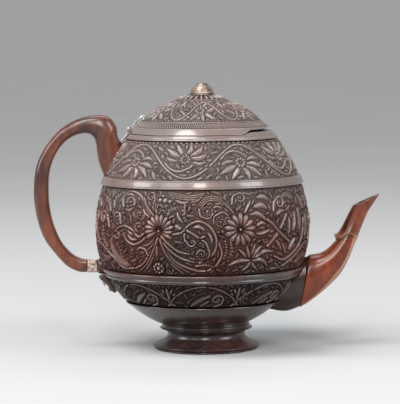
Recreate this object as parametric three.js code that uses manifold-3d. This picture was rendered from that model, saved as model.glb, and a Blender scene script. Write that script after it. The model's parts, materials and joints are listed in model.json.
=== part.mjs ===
// Carved coconut teapot: an egg-shaped shell on a turned foot, with a carved wooden handle and spout
// and a lid cut from the top of the shell, hinged at the handle side.
// Millimetres, +Z up. The origin is the centre of the foot's underside. The spout points along +X,
// the handle along -X, and the side that is usually shown faces -Y.
import * as THREE from 'three';
import { mergeVertices } from 'three/addons/utils/BufferGeometryUtils.js';
import Module from 'manifold-3d';

const wasm = await Module();
wasm.setup();

// Egg of the coconut shell
const EGG_RADIUS = 58.9;
const EGG_EQUATOR_Z = 66.4;
const EGG_UP = 74;
const EGG_DOWN = 57.1;
const EGG_UP_POWER = 1.85;
const EGG_UP_ROOT = 0.588;
const EGG_AXIS_X = -1.6;
const WALL = 4;
const SHELL_SIDES = 48;
const EGG_STEPS = 30;

// Radii and heights at which the shell and the lid have a ring of points
const SHELL_BOTTOM_RADII = [13, 23, 33];
const SHELL_HEIGHTS = [33, 50.5, 58, 66.4, 75, 83, 99.5, 105.5, 111];
const SHELL_INNER_HEIGHTS = [107, 96, 83, 66.4, 50, 37, 27];
const SHELL_INNER_RADII = [27, 15];
const RIM_BEVEL = 0.6;
const LID_OUTER_RADII = [28, 22, 16, 10, 5.5];
const LID_INNER_RADII = [8, 16, 23, 29];
const LID_RIM_BAND = 1.6;

// Gaps between pieces that touch
const GAP = 0.3;
const FINE_GAP = 0.15;
const PIN_GAP = 0.08;

// Sides of round pieces and holes
const ROUND_SIDES = 16;
const PEG_SIDES = 12;
const HOLE_SIDES = 10;

// Seam between the body and the lid: it steps up around the spout side
const SEAM_Z = 117.2;
const BODY_STEP = 1.3;
const LID_STEP = 2.2;
const LID_SPOUT_RISE = 0.6;
const STEP_START = THREE.MathUtils.degToRad(57);
const STEP_END = THREE.MathUtils.degToRad(44);

// Plain raised rings turned on the body: lower edge, upper edge and height above the ground
const RINGS = [
  { low: 25.4, high: 26.4, proud: 0.4 },
  { low: 40.4, high: 42.0, proud: 0.7 },
  { low: 43.2, high: 45.0, proud: 0.7 },
  { low: 90.1, high: 94.5, proud: 0.55 },
  { low: 114.6, high: 115.4, proud: 0.3 },
];
const RING_SLOPE = 0.35;

// Foot, turned about its own axis at x = 0
const FOOT_PROFILE = [
  [26.6, 0], [28.6, 0.4], [29.1, 1.5], [28.5, 2.9], [26.3, 3.9], [23.8, 4.9], [21.9, 6.4], [21.1, 8.1],
  [22.3, 9.7], [24.4, 10.7], [24.9, 11.3], [24.0, 12.1], [24.1, 12.9], [23.4, 14.2], [22.7, 16.5],
];
const FOOT_SIDES = 40;
const FOOT_PEG_RADIUS = 3;
const FOOT_PEG_BOTTOM = 4.2;
const FOOT_PEG_HEAD_RADIUS = 6;
const FOOT_PEG_HEAD = 2;
const FOOT_PEG_CHAMFER = 0.6;
const FOOT_PEG_SIDES = 24;

// Handle: matching points of its inner and outer outline in the XZ plane, and its width across
const HANDLE = [
  { inner: [-64.4, 48.7], outer: [-64.5, 41.9], width: 8.4 },
  { inner: [-67.7, 49.3], outer: [-69.5, 42.3], width: 8.6 },
  { inner: [-72.2, 51.6], outer: [-75.9, 45.7], width: 8.8 },
  { inner: [-77.5, 57.3], outer: [-82.6, 53.1], width: 9.0 },
  { inner: [-80.7, 63.4], outer: [-87.7, 60.4], width: 9.0 },
  { inner: [-83.2, 70.8], outer: [-91.0, 69.6], width: 9.0 },
  { inner: [-84.7, 80.4], outer: [-92.9, 80.5], width: 9.0 },
  { inner: [-84.8, 90.3], outer: [-92.8, 90.9], width: 9.0 },
  { inner: [-83.7, 98.6], outer: [-91.4, 99.9], width: 9.0 },
  { inner: [-80.9, 105.6], outer: [-88.1, 107.6], width: 9.2 },
  { inner: [-77.3, 111.1], outer: [-83.5, 114.2], width: 9.6 },
  { inner: [-72.8, 114.9], outer: [-77.6, 120.3], width: 10.2 },
  { inner: [-67.7, 117.0], outer: [-69.5, 124.9], width: 10.8 },
  { inner: [-63.1, 117.2], outer: [-60.8, 127.2], width: 11.4 },
  { inner: [-60.1, 115.0], outer: [-52.5, 126.6], width: 12.2 },
  { inner: [-58.8, 111.0], outer: [-47.6, 121.2], width: 12.8 },
  { inner: [-58.4, 106.6], outer: [-45.8, 117.0], width: 13.0 },
  { inner: [-57.4, 101.1], outer: [-43.0, 107.0], width: 12.6 },
  { inner: [-54.9, 94.2], outer: [-46.9, 97.0], width: 10.5 },
];
const HANDLE_STEPS = 40;
const HANDLE_SECTION_POINTS = 14;
const HANDLE_SQUARENESS = 0.72;
const TENON_Z = 45.2;
const TENON_RADIUS = 2.1;
const TENON_ROOT_X = -68;
const TENON_END_X = -54.2;
const HANDLE_PEG_HEIGHTS = [110.2, 102.6];
const HANDLE_PEG_RADIUS = 1.6;
const HANDLE_PEG_DEPTH = 6.5;

// Ferrule, collar and tail plate where the handle meets the shell below
const FERRULE_OUTER_X = -64.1;
const FERRULE_INNER_X = -58.8;
const FERRULE_HALF_HEIGHT = 3.6;
const FERRULE_HALF_WIDTH = 4.6;
const FERRULE_PIN_X = -61.4;
const FERRULE_PIN_RADIUS = 0.8;
const COLLAR_OUTER_X = -58.5;
const COLLAR_INNER_X = -53;
const COLLAR_HALF_HEIGHT = 4.1;
const COLLAR_HALF_WIDTH = 5.2;
const BLOCK_SECTION_POINTS = 20;
const BLOCK_SQUARENESS = 0.5;
const PIN_PROUD = 0.3;
const TAIL_TOP_Z = 40.8;
const TAIL_TIP_Z = 31.6;
const TAIL_TOP_THICK = 4.2;
const TAIL_TIP_THICK = 2.0;
const TAIL_TOP_WIDTH = 9.6;
const TAIL_TIP_WIDTH = 4.4;
const TAIL_STEPS = 7;
const TAIL_SECTION_POINTS = 14;
const TAIL_SQUARENESS = 0.6;
const TAIL_INTO_SHELL = 1;
const TAIL_RIVET_HEIGHTS = [37.2, 33.9];
const RIVET_RADIUS = 0.75;
const RIVET_HEAD_RADIUS = 1.35;
const RIVET_HEAD = 0.7;
const RIVET_TAIL = 0.5;
const RIVET_TAIL_GAP = 0.6;
const RIVET_CROWN = 0.75;

// Spout: matching points of its upper and lower outline in the XZ plane, its width and its bore's radius
const SPOUT = [
  { top: [46.5, 48.9], bottom: [31.5, 21.4], width: 23.0, bore: 7.5 },
  { top: [56.6, 50.3], bottom: [43.4, 19.6], width: 23.0, bore: 7.0 },
  { top: [62.3, 51.2], bottom: [54.2, 23.9], width: 21.0, bore: 6.3 },
  { top: [66.3, 53.5], bottom: [64.1, 31.0], width: 18.0, bore: 5.2 },
  { top: [69.4, 56.8], bottom: [72.8, 39.6], width: 15.0, bore: 4.5 },
  { top: [71.9, 60.6], bottom: [77.7, 47.9], width: 12.6, bore: 4.0 },
  { top: [74.2, 65.2], bottom: [81.2, 56.8], width: 11.0, bore: 3.7 },
  { top: [76.8, 70.6], bottom: [84.9, 65.6], width: 10.0, bore: 3.5 },
  { top: [79.6, 75.9], bottom: [88.7, 73.8], width: 9.4, bore: 3.3 },
  { top: [83.0, 81.4], bottom: [92.8, 80.1], width: 9.0, bore: 3.2 },
  { top: [87.5, 88.4], bottom: [97.1, 87.0], width: 8.6, bore: 3.2 },
];
const SPOUT_STEPS = 30;
const SPOUT_SECTION_POINTS = 20;
const SPOUT_SQUARENESS = 0.9;
const BORE_SIDES = 12;
const MOUTH_BACK = [81.2, 77.4];
const MOUTH_TIP = [95.4, 83.6];
const STRAINER_Z = 38;
const STRAINER_HOLE_RADIUS = 1.5;
const STRAINER_RING_RADIUS = 4.6;
const STRAINER_RING_HOLES = 6;
const SPOUT_PEG_HEIGHTS = [46.2, 27.6];
const SPOUT_PEG_RADIUS = 1.3;
const SPOUT_PEG_DEPTH = 4.5;

// Knob: a turned bud with a stem through the lid
const KNOB_PROFILE = [
  [0, 138.0], [6.2, 138.0], [6.6, 139.2], [6.5, 139.9], [5.6, 140.3], [5.2, 141.0], [4.6, 141.8],
  [4.0, 142.5], [3.1, 143.2], [2.6, 143.8], [1.9, 144.2], [0, 144.4],
];
const KNOB_SIDES = 18;
const STEM_RADIUS = 1.4;
const STEM_BOTTOM = 132.4;
const STEM_TOP = 143;
const WASHER = { low: 134.9, high: 135.7, radius: 4, sides: 20 };
const BURR = { low: 132.9, high: 134.6, radius: 2.4, sides: 14 };

// Hinge at the handle side
const HINGE_X = -41.0;
const HINGE_Z = 119.7;
const KNUCKLE_RADIUS = 1.25;
const HINGE_PIN_RADIUS = 0.55;
const HINGE_PIN_HALF = 6.4;
const LID_KNUCKLE_HALF = 2.1;
const FIXED_KNUCKLE_INNER = 2.4;
const FIXED_KNUCKLE_OUTER = 6;
const LEAF_THICK = 0.8;
const LEAF_OFF_SURFACE = 0.35;
const LID_LEAF_HALF_WIDTH = 2.1;
const LID_LEAF_TOP_Z = 126.4;
const FIXED_LEAF_HALF_WIDTH = 5.4;
const FIXED_LEAF_BOTTOM_Z = 112.6;
const LID_RIVET_HEIGHTS = [122.6, 125.1];
const FIXED_RIVET_Z = 114.6;
const FIXED_RIVET_Y = 3.4;
const LEAF_STEPS = 6;
const LEAF_SECTION_POINTS = 8;
const LEAF_SQUARENESS = 0.4;
const LID_LEAF_START = 0.4;
const FIXED_LEAF_START = 0.9;

// Carving. The main forms of the relief stand between recesses of this depth, which leave a margin
// along the edges of each band. A place on a band is given as mm round from the front, measured at
// the radius `scale`, and mm up the surface from the band's lower edge, out of `rise`.
const CARVE_DEPTH = 0.9;
const CARVE_REACH = 3;
const CARVE_SIDES = 20;
const CARVE_MARGIN = 0.5;
const CARVE_TOLERANCE = 0.1;
const MAIN_BAND = { low: 45, high: 90.1, rise: 46.2, scale: 58 };
const SHOULDER_BAND = { low: 94.5, high: 114.6, rise: 23.3, scale: 48 };
const LOWER_BAND = { low: 26.4, high: 40.4, rise: 17.5, scale: 48 };

// Middle band, front half: two flowers, the largest stems and leaves
const MAIN_FLOWERS = [{ at: [-23.5, 24.8], radius: 7.4 }, { at: [20.2, 25], radius: 7 }];
const MAIN_PETALS = 5;
const MAIN_STEMS = [
  { half: 1.2, at: [[-14, 25], [-3, 29.8], [6, 23], [-2, 7.6]] },
  { half: 1.2, at: [[-27, 32], [-36, 43], [-47.5, 41], [-42, 36]] },
  { half: 1.2, at: [[-26, 15], [-41, 3], [-60, 10.4], [-80, 15]] },
  { half: 1.5, at: [[-2.4, 34], [5, 41.6], [17.6, 33.4]] },
  { half: 1.2, at: [[42, 8.6], [62, 14], [80, 39]] },
];
const MAIN_LEAVES = [
  { half: 2.2, at: [[27, 9], [41.5, 13]] },
];

// Shoulder band: a vine in waves, with a cluster of four leaves in each bend
const SHOULDER_WAVES = 5;
const SHOULDER_CREST = -38.5;
const SHOULDER_MIDDLE = 11.7;
const SHOULDER_SWING = 9.8;
const VINE_HALF = 1.1;
const WAVE_STEPS = 4;
const CLUSTER_AT = [-0.8, 7.6];
const CLUSTER_RADIUS = 7;
const CLUSTER_LEAVES = 3;
const STAR_TURN = Math.PI / 6;

// Lower band: arches of a thin stem
const LOWER_ARCHES = 8;
const ARCH_FOOT = 4.2;
const ARCH_RISE = 11.2;
const ARCH_HALF = 0.8;
const ARCH_STEPS = 3;

// Uncarved ground under what is fitted to the shell
const PADS = [
  { side: 'handle', half: 8, low: 90, high: 118 },
  { side: 'handle', half: 6.5, low: 30, high: 51 },
  { side: 'spout', half: 13.5, low: 18, high: 53.5 },
];

const HANDLE_SIDE = -1;
const SPOUT_SIDE = 1;

// Materials
const shellWood = new THREE.MeshStandardMaterial({ color: 0x4a342c, roughness: 0.4, metalness: 0 });
const redWood = new THREE.MeshStandardMaterial({ color: 0x6e3018, roughness: 0.35, metalness: 0 });
const darkWood = new THREE.MeshStandardMaterial({ color: 0x3a241b, roughness: 0.4, metalness: 0 });
const bone = new THREE.MeshStandardMaterial({ color: 0xb8a292, roughness: 0.5, metalness: 0 });
const silver = new THREE.MeshStandardMaterial({ color: 0xa39c98, roughness: 0.35, metalness: 1 });
const brass = new THREE.MeshStandardMaterial({ color: 0xb39a78, roughness: 0.4, metalness: 1 });

// Egg surface

// Radius of the egg at a height, for the outer surface or for one that lies `inset` inside it
function eggRadius(z, inset = 0) {
  const radius = EGG_RADIUS - inset;
  if (z >= EGG_EQUATOR_Z) {
    const t = Math.min(1, (z - EGG_EQUATOR_Z) / (EGG_UP - inset));
    return radius * (1 - t ** EGG_UP_POWER) ** EGG_UP_ROOT;
  }
  const t = Math.min(1, (EGG_EQUATOR_Z - z) / (EGG_DOWN - inset));
  return radius * Math.sqrt(1 - t * t);
}

// Outward normal of the egg at a height, in the plane of the axis, as [radial, vertical]
function eggNormal(z) {
  const step = 0.05;
  const slope = (eggRadius(z + step) - eggRadius(z - step)) / (2 * step);
  const length = Math.hypot(1, slope);
  return [1 / length, -slope / length];
}

// Point and outward direction on the egg in the XZ plane, on the spout side or the handle side
function eggSpot(z, side, y = 0) {
  const radius = Math.sqrt(eggRadius(z) ** 2 - y * y);
  const [radial, vertical] = eggNormal(z);
  return {
    point: new THREE.Vector3(EGG_AXIS_X + side * radius, y, z),
    out: new THREE.Vector3(side * radial, 0, vertical),
  };
}

// Height of a raised ring above the egg's surface
function ringHeight(z) {
  for (const ring of RINGS) {
    const rise = Math.min(z - ring.low, ring.high - z) / RING_SLOPE;
    if (rise > -1e-9) return ring.proud * Math.min(1, rise);
  }
  return 0;
}

// Geometry helpers

function smooth(t) {
  const u = THREE.MathUtils.clamp(t, 0, 1);
  return u * u * (3 - 2 * u);
}

// Turns the faces outward if they face in
function faceOut(geometry) {
  const position = geometry.getAttribute('position');
  const index = geometry.getIndex();
  const [a, b, c] = [new THREE.Vector3(), new THREE.Vector3(), new THREE.Vector3()];
  let volume = 0;
  for (let i = 0; i < index.count; i += 3) {
    a.fromBufferAttribute(position, index.getX(i));
    b.fromBufferAttribute(position, index.getX(i + 1));
    c.fromBufferAttribute(position, index.getX(i + 2));
    volume += a.dot(b.cross(c));
  }
  if (volume < 0) {
    for (let i = 0; i < index.count; i += 3) {
      const first = index.getX(i);
      index.setX(i, index.getX(i + 1));
      index.setX(i + 1, first);
    }
  }
  return geometry;
}

function closed(geometry) {
  const bare = geometry.clone();
  bare.deleteAttribute('normal');
  bare.deleteAttribute('uv');
  return faceOut(mergeVertices(bare, 1e-4));
}

function toSolid(geometry) {
  const bare = closed(geometry);
  return new wasm.Manifold(new wasm.Mesh({
    numProp: 3,
    vertProperties: new Float32Array(bare.getAttribute('position').array),
    triVerts: new Uint32Array(bare.getIndex().array),
  }));
}

function toGeometry(solid) {
  const mesh = solid.getMesh();
  const geometry = new THREE.BufferGeometry();
  geometry.setAttribute('position', new THREE.BufferAttribute(new Float32Array(mesh.vertProperties), 3));
  geometry.setIndex(new THREE.BufferAttribute(new Uint32Array(mesh.triVerts), 1));
  geometry.computeVertexNormals();
  return geometry;
}

function cut(geometry, cutters, tolerance = 0) {
  let solid = toSolid(geometry);
  for (const cutter of cutters) solid = solid.subtract(toSolid(cutter));
  return toGeometry(tolerance > 0 ? largest(solid.simplify(tolerance)) : solid);
}

// The largest part of a solid, without the slivers that simplifying can part from it
function largest(solid) {
  return solid.decompose().sort((a, b) => b.volume() - a.volume())[0];
}

function join(geometries) {
  let solid = toSolid(geometries[0]);
  for (const other of geometries.slice(1)) solid = solid.add(toSolid(other));
  return toGeometry(solid);
}

// Skin over rings of points that each hold the same number of points.
// Open lofts get end caps; a looped loft joins its last ring to its first.
function loft(rings, looped = false) {
  const count = rings[0].length;
  const positions = rings.flat().flatMap((point) => [point.x, point.y, point.z]);
  const indices = [];
  const spans = looped ? rings.length : rings.length - 1;
  for (let i = 0; i < spans; i += 1) {
    const next = (i + 1) % rings.length;
    for (let j = 0; j < count; j += 1) {
      const k = (j + 1) % count;
      indices.push(i * count + j, next * count + j, next * count + k);
      indices.push(i * count + j, next * count + k, i * count + k);
    }
  }
  if (!looped) {
    for (const [ring, flip] of [[0, false], [rings.length - 1, true]]) {
      for (let j = 1; j < count - 1; j += 1) {
        const base = ring * count;
        indices.push(base, base + (flip ? j + 1 : j), base + (flip ? j : j + 1));
      }
    }
  }
  const geometry = new THREE.BufferGeometry();
  geometry.setAttribute('position', new THREE.Float32BufferAttribute(positions, 3));
  geometry.setIndex(indices);
  return faceOut(geometry);
}

// Solid of revolution about a vertical axis through x = axisX
function turned(profile, sides, axisX = 0) {
  const points = profile.map(([radius, z]) => new THREE.Vector2(radius, z));
  const geometry = new THREE.LatheGeometry(points, sides);
  geometry.rotateX(Math.PI / 2);
  geometry.translate(axisX, 0, 0);
  return geometry;
}

// Solid of revolution about a line: the profile's heights run from `point` along `out`
function turnedAlong(profile, sides, point, out) {
  const geometry = turned(profile, sides);
  const turn = new THREE.Quaternion().setFromUnitVectors(new THREE.Vector3(0, 0, 1), out);
  geometry.applyQuaternion(turn);
  geometry.translate(point.x, point.y, point.z);
  return geometry;
}

function rod(radius, from, to, sides, point, out) {
  return turnedAlong([[0, from], [radius, from], [radius, to], [0, to]], sides, point, out);
}

function rodAcross(radius, fromY, toY, x, z, sides) {
  return rod(radius, fromY, toY, sides, new THREE.Vector3(x, 0, z), new THREE.Vector3(0, 1, 0));
}

// Closed egg, grown by `grow`, for cutting what seats on the shell
function grownEgg(grow) {
  const profile = [];
  for (let i = 0; i <= EGG_STEPS; i += 1) {
    const angle = -Math.PI / 2 + (Math.PI * i) / EGG_STEPS;
    const reach = angle < 0 ? EGG_DOWN + grow : EGG_UP + grow;
    const z = EGG_EQUATOR_Z + reach * Math.sin(angle);
    const atEnd = i === 0 || i === EGG_STEPS;
    profile.push([atEnd ? 0 : eggRadius(z, -grow), z]);
  }
  return turned(profile, SHELL_SIDES, EGG_AXIS_X);
}

// Clearance for a raised ring under a piece that lies across it
function grownRing(ring, gap) {
  const low = ring.low - gap;
  const high = ring.high + gap;
  const reach = ring.proud + gap;
  return turned([
    [0, low], [eggRadius(low) + reach, low], [eggRadius(high) + reach, high], [0, high],
  ], SHELL_SIDES, EGG_AXIS_X);
}

// The shell with its raised rings, grown by a gap: what seats on the shell is cut by these
function seat(gap = GAP) {
  return [grownEgg(gap), ...RINGS.map((ring) => grownRing(ring, gap))];
}

// Rounded box section in the plane spanned by Y and a direction in the XZ plane
function section(first, second, width, points, squareness) {
  const middle = first.clone().add(second).multiplyScalar(0.5);
  const half = second.clone().sub(first).multiplyScalar(0.5);
  const ring = [];
  for (let i = 0; i < points; i += 1) {
    const angle = (2 * Math.PI * i) / points;
    const along = Math.sign(Math.cos(angle)) * Math.abs(Math.cos(angle)) ** squareness;
    const across = Math.sign(Math.sin(angle)) * Math.abs(Math.sin(angle)) ** squareness;
    const point = middle.clone().addScaledVector(half, along);
    point.y += (across * width) / 2;
    ring.push(point);
  }
  return ring;
}

function outline(pairs, key) {
  const points = pairs.map((pair) => new THREE.Vector3(pair[key][0], 0, pair[key][1]));
  return new THREE.CatmullRomCurve3(points);
}

function valueAlong(pairs, key, t) {
  const place = t * (pairs.length - 1);
  const low = Math.min(pairs.length - 2, Math.floor(place));
  return THREE.MathUtils.lerp(pairs[low][key], pairs[low + 1][key], place - low);
}

// Body shell and lid shell

function angleFromSpout(angle) {
  return Math.abs(Math.atan2(Math.sin(angle), Math.cos(angle)));
}

function seamStep(angle) {
  return smooth((STEP_START - angleFromSpout(angle)) / (STEP_START - STEP_END));
}

function bodyRimZ(angle) {
  return SEAM_Z + BODY_STEP * seamStep(angle);
}

function lidRimZ(angle) {
  const towardsSpout = smooth((STEP_END - angleFromSpout(angle)) / STEP_END);
  return SEAM_Z + GAP + LID_STEP * seamStep(angle) + LID_SPOUT_RISE * towardsSpout;
}

// Shell between two surfaces, as rings of points about the egg's axis.
// `profile(angle)` gives the closed section at an angle as [radius, z] pairs.
function shellOfRings(profile, sides) {
  const rings = [];
  for (let i = 0; i < sides; i += 1) {
    const angle = (2 * Math.PI * i) / sides;
    rings.push(profile(angle).map(([radius, z]) => new THREE.Vector3(
      EGG_AXIS_X + radius * Math.cos(angle), radius * Math.sin(angle), z,
    )));
  }
  return loft(rings, true);
}

function evenly(from, to, steps) {
  return Array.from({ length: steps + 1 }, (_, i) => from + ((to - from) * i) / steps);
}

// Height on the egg's surface below the equator at which it has a given radius
function lowerEggZ(radius, inset = 0) {
  return EGG_EQUATOR_Z - (EGG_DOWN - inset) * Math.sqrt(1 - (radius / (EGG_RADIUS - inset)) ** 2);
}

function upperEggZ(radius, inset = 0) {
  const t = (1 - (radius / (EGG_RADIUS - inset)) ** (1 / EGG_UP_ROOT)) ** (1 / EGG_UP_POWER);
  return EGG_EQUATOR_Z + (EGG_UP - inset) * t;
}

function ringEdges(ring) {
  return [ring.low, ring.low + RING_SLOPE, ring.high - RING_SLOPE, ring.high];
}

function bodyShell() {
  const pegHole = FOOT_PEG_RADIUS + GAP;
  const heights = [...RINGS.flatMap(ringEdges), ...SHELL_HEIGHTS].sort((a, b) => a - b);

  const profile = (angle) => {
    const rim = bodyRimZ(angle);
    const outer = [pegHole, ...SHELL_BOTTOM_RADII].map((radius) => [radius, lowerEggZ(radius)]);
    for (const z of heights) outer.push([eggRadius(z) + ringHeight(z), z]);
    outer.push([eggRadius(rim - RIM_BEVEL), rim - RIM_BEVEL]);
    outer.push([eggRadius(rim) - RIM_BEVEL, rim]);
    const inner = [[eggRadius(rim, WALL), rim]];
    for (const z of SHELL_INNER_HEIGHTS) inner.push([eggRadius(z, WALL), z]);
    for (const radius of [...SHELL_INNER_RADII, pegHole]) inner.push([radius, lowerEggZ(radius, WALL)]);
    return [...outer, ...inner];
  };

  return cut(shellOfRings(profile, SHELL_SIDES), [
    bandRecess(MAIN_BAND, [...mainForms(false), ...mainForms(true)]),
    bandRecess(SHOULDER_BAND, shoulderForms()),
    bandRecess(LOWER_BAND, lowerForms()),
    ...strainerHoles(),
    ...HANDLE_PEG_HEIGHTS.map((z) => shellHole(z, HANDLE_SIDE, HANDLE_PEG_RADIUS + GAP)),
    ...SPOUT_PEG_HEIGHTS.map((z) => shellHole(z, SPOUT_SIDE, SPOUT_PEG_RADIUS + GAP)),
    ...TAIL_RIVET_HEIGHTS.map((z) => shellHole(z, HANDLE_SIDE, RIVET_RADIUS + FINE_GAP)),
    shellHole(FIXED_RIVET_Z, HANDLE_SIDE, RIVET_RADIUS + FINE_GAP, -FIXED_RIVET_Y),
    shellHole(FIXED_RIVET_Z, HANDLE_SIDE, RIVET_RADIUS + FINE_GAP, FIXED_RIVET_Y),
    tenonRod(TENON_RADIUS + GAP),
  ], CARVE_TOLERANCE);
}

function lidShell() {
  const stemHole = STEM_RADIUS + GAP;

  const profile = (angle) => {
    const rim = lidRimZ(angle);
    const bandTop = rim + LID_RIM_BAND;
    const halfway = (bandTop + upperEggZ(LID_OUTER_RADII[0])) / 2;
    const outer = [rim, bandTop, halfway].map((z) => [eggRadius(z), z]);
    for (const radius of [...LID_OUTER_RADII, stemHole]) outer.push([radius, upperEggZ(radius)]);
    const inner = [stemHole, ...LID_INNER_RADII].map((radius) => [radius, upperEggZ(radius, WALL)]);
    inner.push([eggRadius(rim, WALL), rim]);
    return [...outer, ...inner];
  };

  return cut(shellOfRings(profile, SHELL_SIDES), [
    ...LID_RIVET_HEIGHTS.map((z) => shellHole(z, HANDLE_SIDE, RIVET_RADIUS + FINE_GAP)),
  ]);
}

// Carving

// Point and outward direction on the egg, for a turn from the front and a height
function eggPlace(turn, z) {
  const radius = eggRadius(z);
  const [radial, vertical] = eggNormal(z);
  return {
    point: new THREE.Vector3(EGG_AXIS_X + radius * Math.sin(turn), -radius * Math.cos(turn), z),
    out: new THREE.Vector3(radial * Math.sin(turn), -radial * Math.cos(turn), vertical),
  };
}

function onBand(band, [round, up], mirrored = false) {
  const turn = round / band.scale;
  return eggPlace(mirrored ? Math.PI - turn : turn, THREE.MathUtils.lerp(band.low, band.high, up / band.rise));
}

// A stem of the carving: a strip that passes through the carved layer
function stem(places, half) {
  return loft(places.map(({ point, out }, i) => {
    const before = places[Math.max(0, i - 1)].point;
    const after = places[Math.min(places.length - 1, i + 1)].point;
    const side = out.clone().cross(after.clone().sub(before)).setLength(half);
    return [[-1, -1], [1, -1], [1, 1], [-1, 1]].map(([across, rise]) => (
      point.clone().addScaledVector(side, across).addScaledVector(out, rise * CARVE_REACH)
    ));
  }));
}

// A leaf or flower of the carving: the places of its outline, carried through the carved layer
// about the place of its middle
function form(middle, outlinePlaces) {
  const rings = [-CARVE_REACH, CARVE_REACH].map((rise) => (
    outlinePlaces.map(({ point, out }) => point.clone().addScaledVector(out, rise))
  ));
  const ends = [-CARVE_REACH, CARVE_REACH].map((rise) => (
    rings[0].map(() => middle.point.clone().addScaledVector(middle.out, rise))
  ));
  return loft([ends[0], ...rings, ends[1]]);
}

// A slender leaf from a root to a tip
function leafForm([[rootX, rootY], [tipX, tipY]], half, place) {
  const length = Math.hypot(tipX - rootX, tipY - rootY);
  const across = [(-(tipY - rootY) * half) / length, ((tipX - rootX) * half) / length];
  const middle = [(rootX + tipX) / 2, (rootY + tipY) / 2];
  const corners = [
    [rootX, rootY], [middle[0] - across[0], middle[1] - across[1]],
    [tipX, tipY], [middle[0] + across[0], middle[1] + across[1]],
  ];
  return form(place(middle), corners.map(place));
}

// A flower or a cluster of leaves: a star with a point for each petal
function star(at, radius, petals, place) {
  const corners = evenly(0, 2 * Math.PI, 2 * petals).slice(0, -1).map((angle, i) => {
    const reach = i % 2 === 0 ? radius : 0.45 * radius;
    return [at[0] + reach * Math.cos(angle + STAR_TURN), at[1] + reach * Math.sin(angle + STAR_TURN)];
  });
  return form(place(at), corners.map(place));
}

function mainForms(mirrored) {
  const place = (at) => onBand(MAIN_BAND, at, mirrored);
  return [
    ...MAIN_FLOWERS.map(({ at, radius }) => star(at, radius, MAIN_PETALS, place)),
    ...MAIN_STEMS.map(({ half, at }) => stem(at.map(place), half)),
    ...MAIN_LEAVES.map(({ half, at }) => leafForm(at, half, place)),
  ];
}

function shoulderForms() {
  const length = 2 * Math.PI * SHOULDER_BAND.scale;
  const steps = SHOULDER_WAVES * WAVE_STEPS;
  const vine = evenly(0, length, steps).map((x) => {
    const phase = ((x - SHOULDER_CREST) * SHOULDER_WAVES * 2 * Math.PI) / length;
    return onBand(SHOULDER_BAND, [x, SHOULDER_MIDDLE + SHOULDER_SWING * Math.cos(phase)]);
  });
  const clusters = evenly(0, length, 2 * SHOULDER_WAVES).slice(0, -1).map((x, bend) => {
    const up = bend % 2 === 0 ? CLUSTER_AT[1] : SHOULDER_BAND.rise - CLUSTER_AT[1];
    const at = [SHOULDER_CREST + x + CLUSTER_AT[0], up];
    return star(at, CLUSTER_RADIUS, CLUSTER_LEAVES, (spot) => onBand(SHOULDER_BAND, spot));
  });
  return [stem(vine, VINE_HALF), ...clusters];
}

function lowerForms() {
  const pitch = (2 * Math.PI * LOWER_BAND.scale) / LOWER_ARCHES;
  const forms = [];
  for (let arch = 0; arch < LOWER_ARCHES; arch += 1) {
    const at = ([across, up]) => onBand(LOWER_BAND, [arch * pitch + across, up]);
    const places = evenly(-pitch / 2, pitch / 2, ARCH_STEPS).map((across) => (
      at([across, ARCH_FOOT + ARCH_RISE * Math.cos((Math.PI * across) / pitch) ** 0.8])
    ));
    forms.push(stem(places, ARCH_HALF));
  }
  return forms;
}

// Layer of the shell's surface between the first and the last of some heights
function carvedLayer(heights) {
  const under = heights.map((z) => [eggRadius(z) - CARVE_DEPTH, z]);
  const over = heights.map((z) => [eggRadius(z) + CARVE_REACH, z]).reverse();
  return shellOfRings(() => [...under, ...over], CARVE_SIDES);
}

function pads() {
  return PADS.map(({ side, half, low, high }) => {
    const box = new THREE.BoxGeometry(EGG_RADIUS + 10, 2 * half, high - low);
    const across = (side === 'spout' ? 1 : -1) * (EGG_RADIUS + 10) * 0.5;
    return box.translate(across, 0, (low + high) / 2);
  });
}

// What is cut away between the forms of one band
function bandRecess(band, forms) {
  const [low, high] = [band.low + CARVE_MARGIN, band.high - CARVE_MARGIN];
  const between = SHELL_HEIGHTS.filter((z, i) => i % 2 === 1 && z > low && z < high);
  return cut(carvedLayer([low, ...between, high]), [...forms, ...pads()]);
}

// Straight hole through the wall along its normal
function shellHole(z, side, radius, y = 0) {
  const { point, out } = eggSpot(z, side, y);
  return rod(radius, -2 * WALL, WALL, HOLE_SIDES, point, out);
}

// Strainer: one hole in the middle and a ring of holes around it, drilled behind the spout
function strainerHoles() {
  const { point, out } = eggSpot(STRAINER_Z, SPOUT_SIDE);
  const up = new THREE.Vector3(-out.z, 0, out.x);
  const offsets = [[0, 0]];
  for (let i = 0; i < STRAINER_RING_HOLES; i += 1) {
    const angle = (2 * Math.PI * i) / STRAINER_RING_HOLES;
    offsets.push([STRAINER_RING_RADIUS * Math.cos(angle), STRAINER_RING_RADIUS * Math.sin(angle)]);
  }
  return offsets.map(([across, rise]) => {
    const centre = point.clone().addScaledVector(up, rise);
    centre.y += across;
    return rod(STRAINER_HOLE_RADIUS, -2 * WALL, WALL, HOLE_SIDES, centre, out);
  });
}

// Foot

function foot() {
  const top = FOOT_PROFILE[FOOT_PROFILE.length - 1][1];
  const body = turned([[0, 0], ...FOOT_PROFILE, [0, top]], FOOT_SIDES);
  const pegHole = rod(
    FOOT_PEG_RADIUS + GAP, FOOT_PEG_BOTTOM - GAP, top + 1, ROUND_SIDES,
    new THREE.Vector3(EGG_AXIS_X, 0, 0), new THREE.Vector3(0, 0, 1),
  );
  return cut(body, [...seat(), pegHole]);
}

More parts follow.
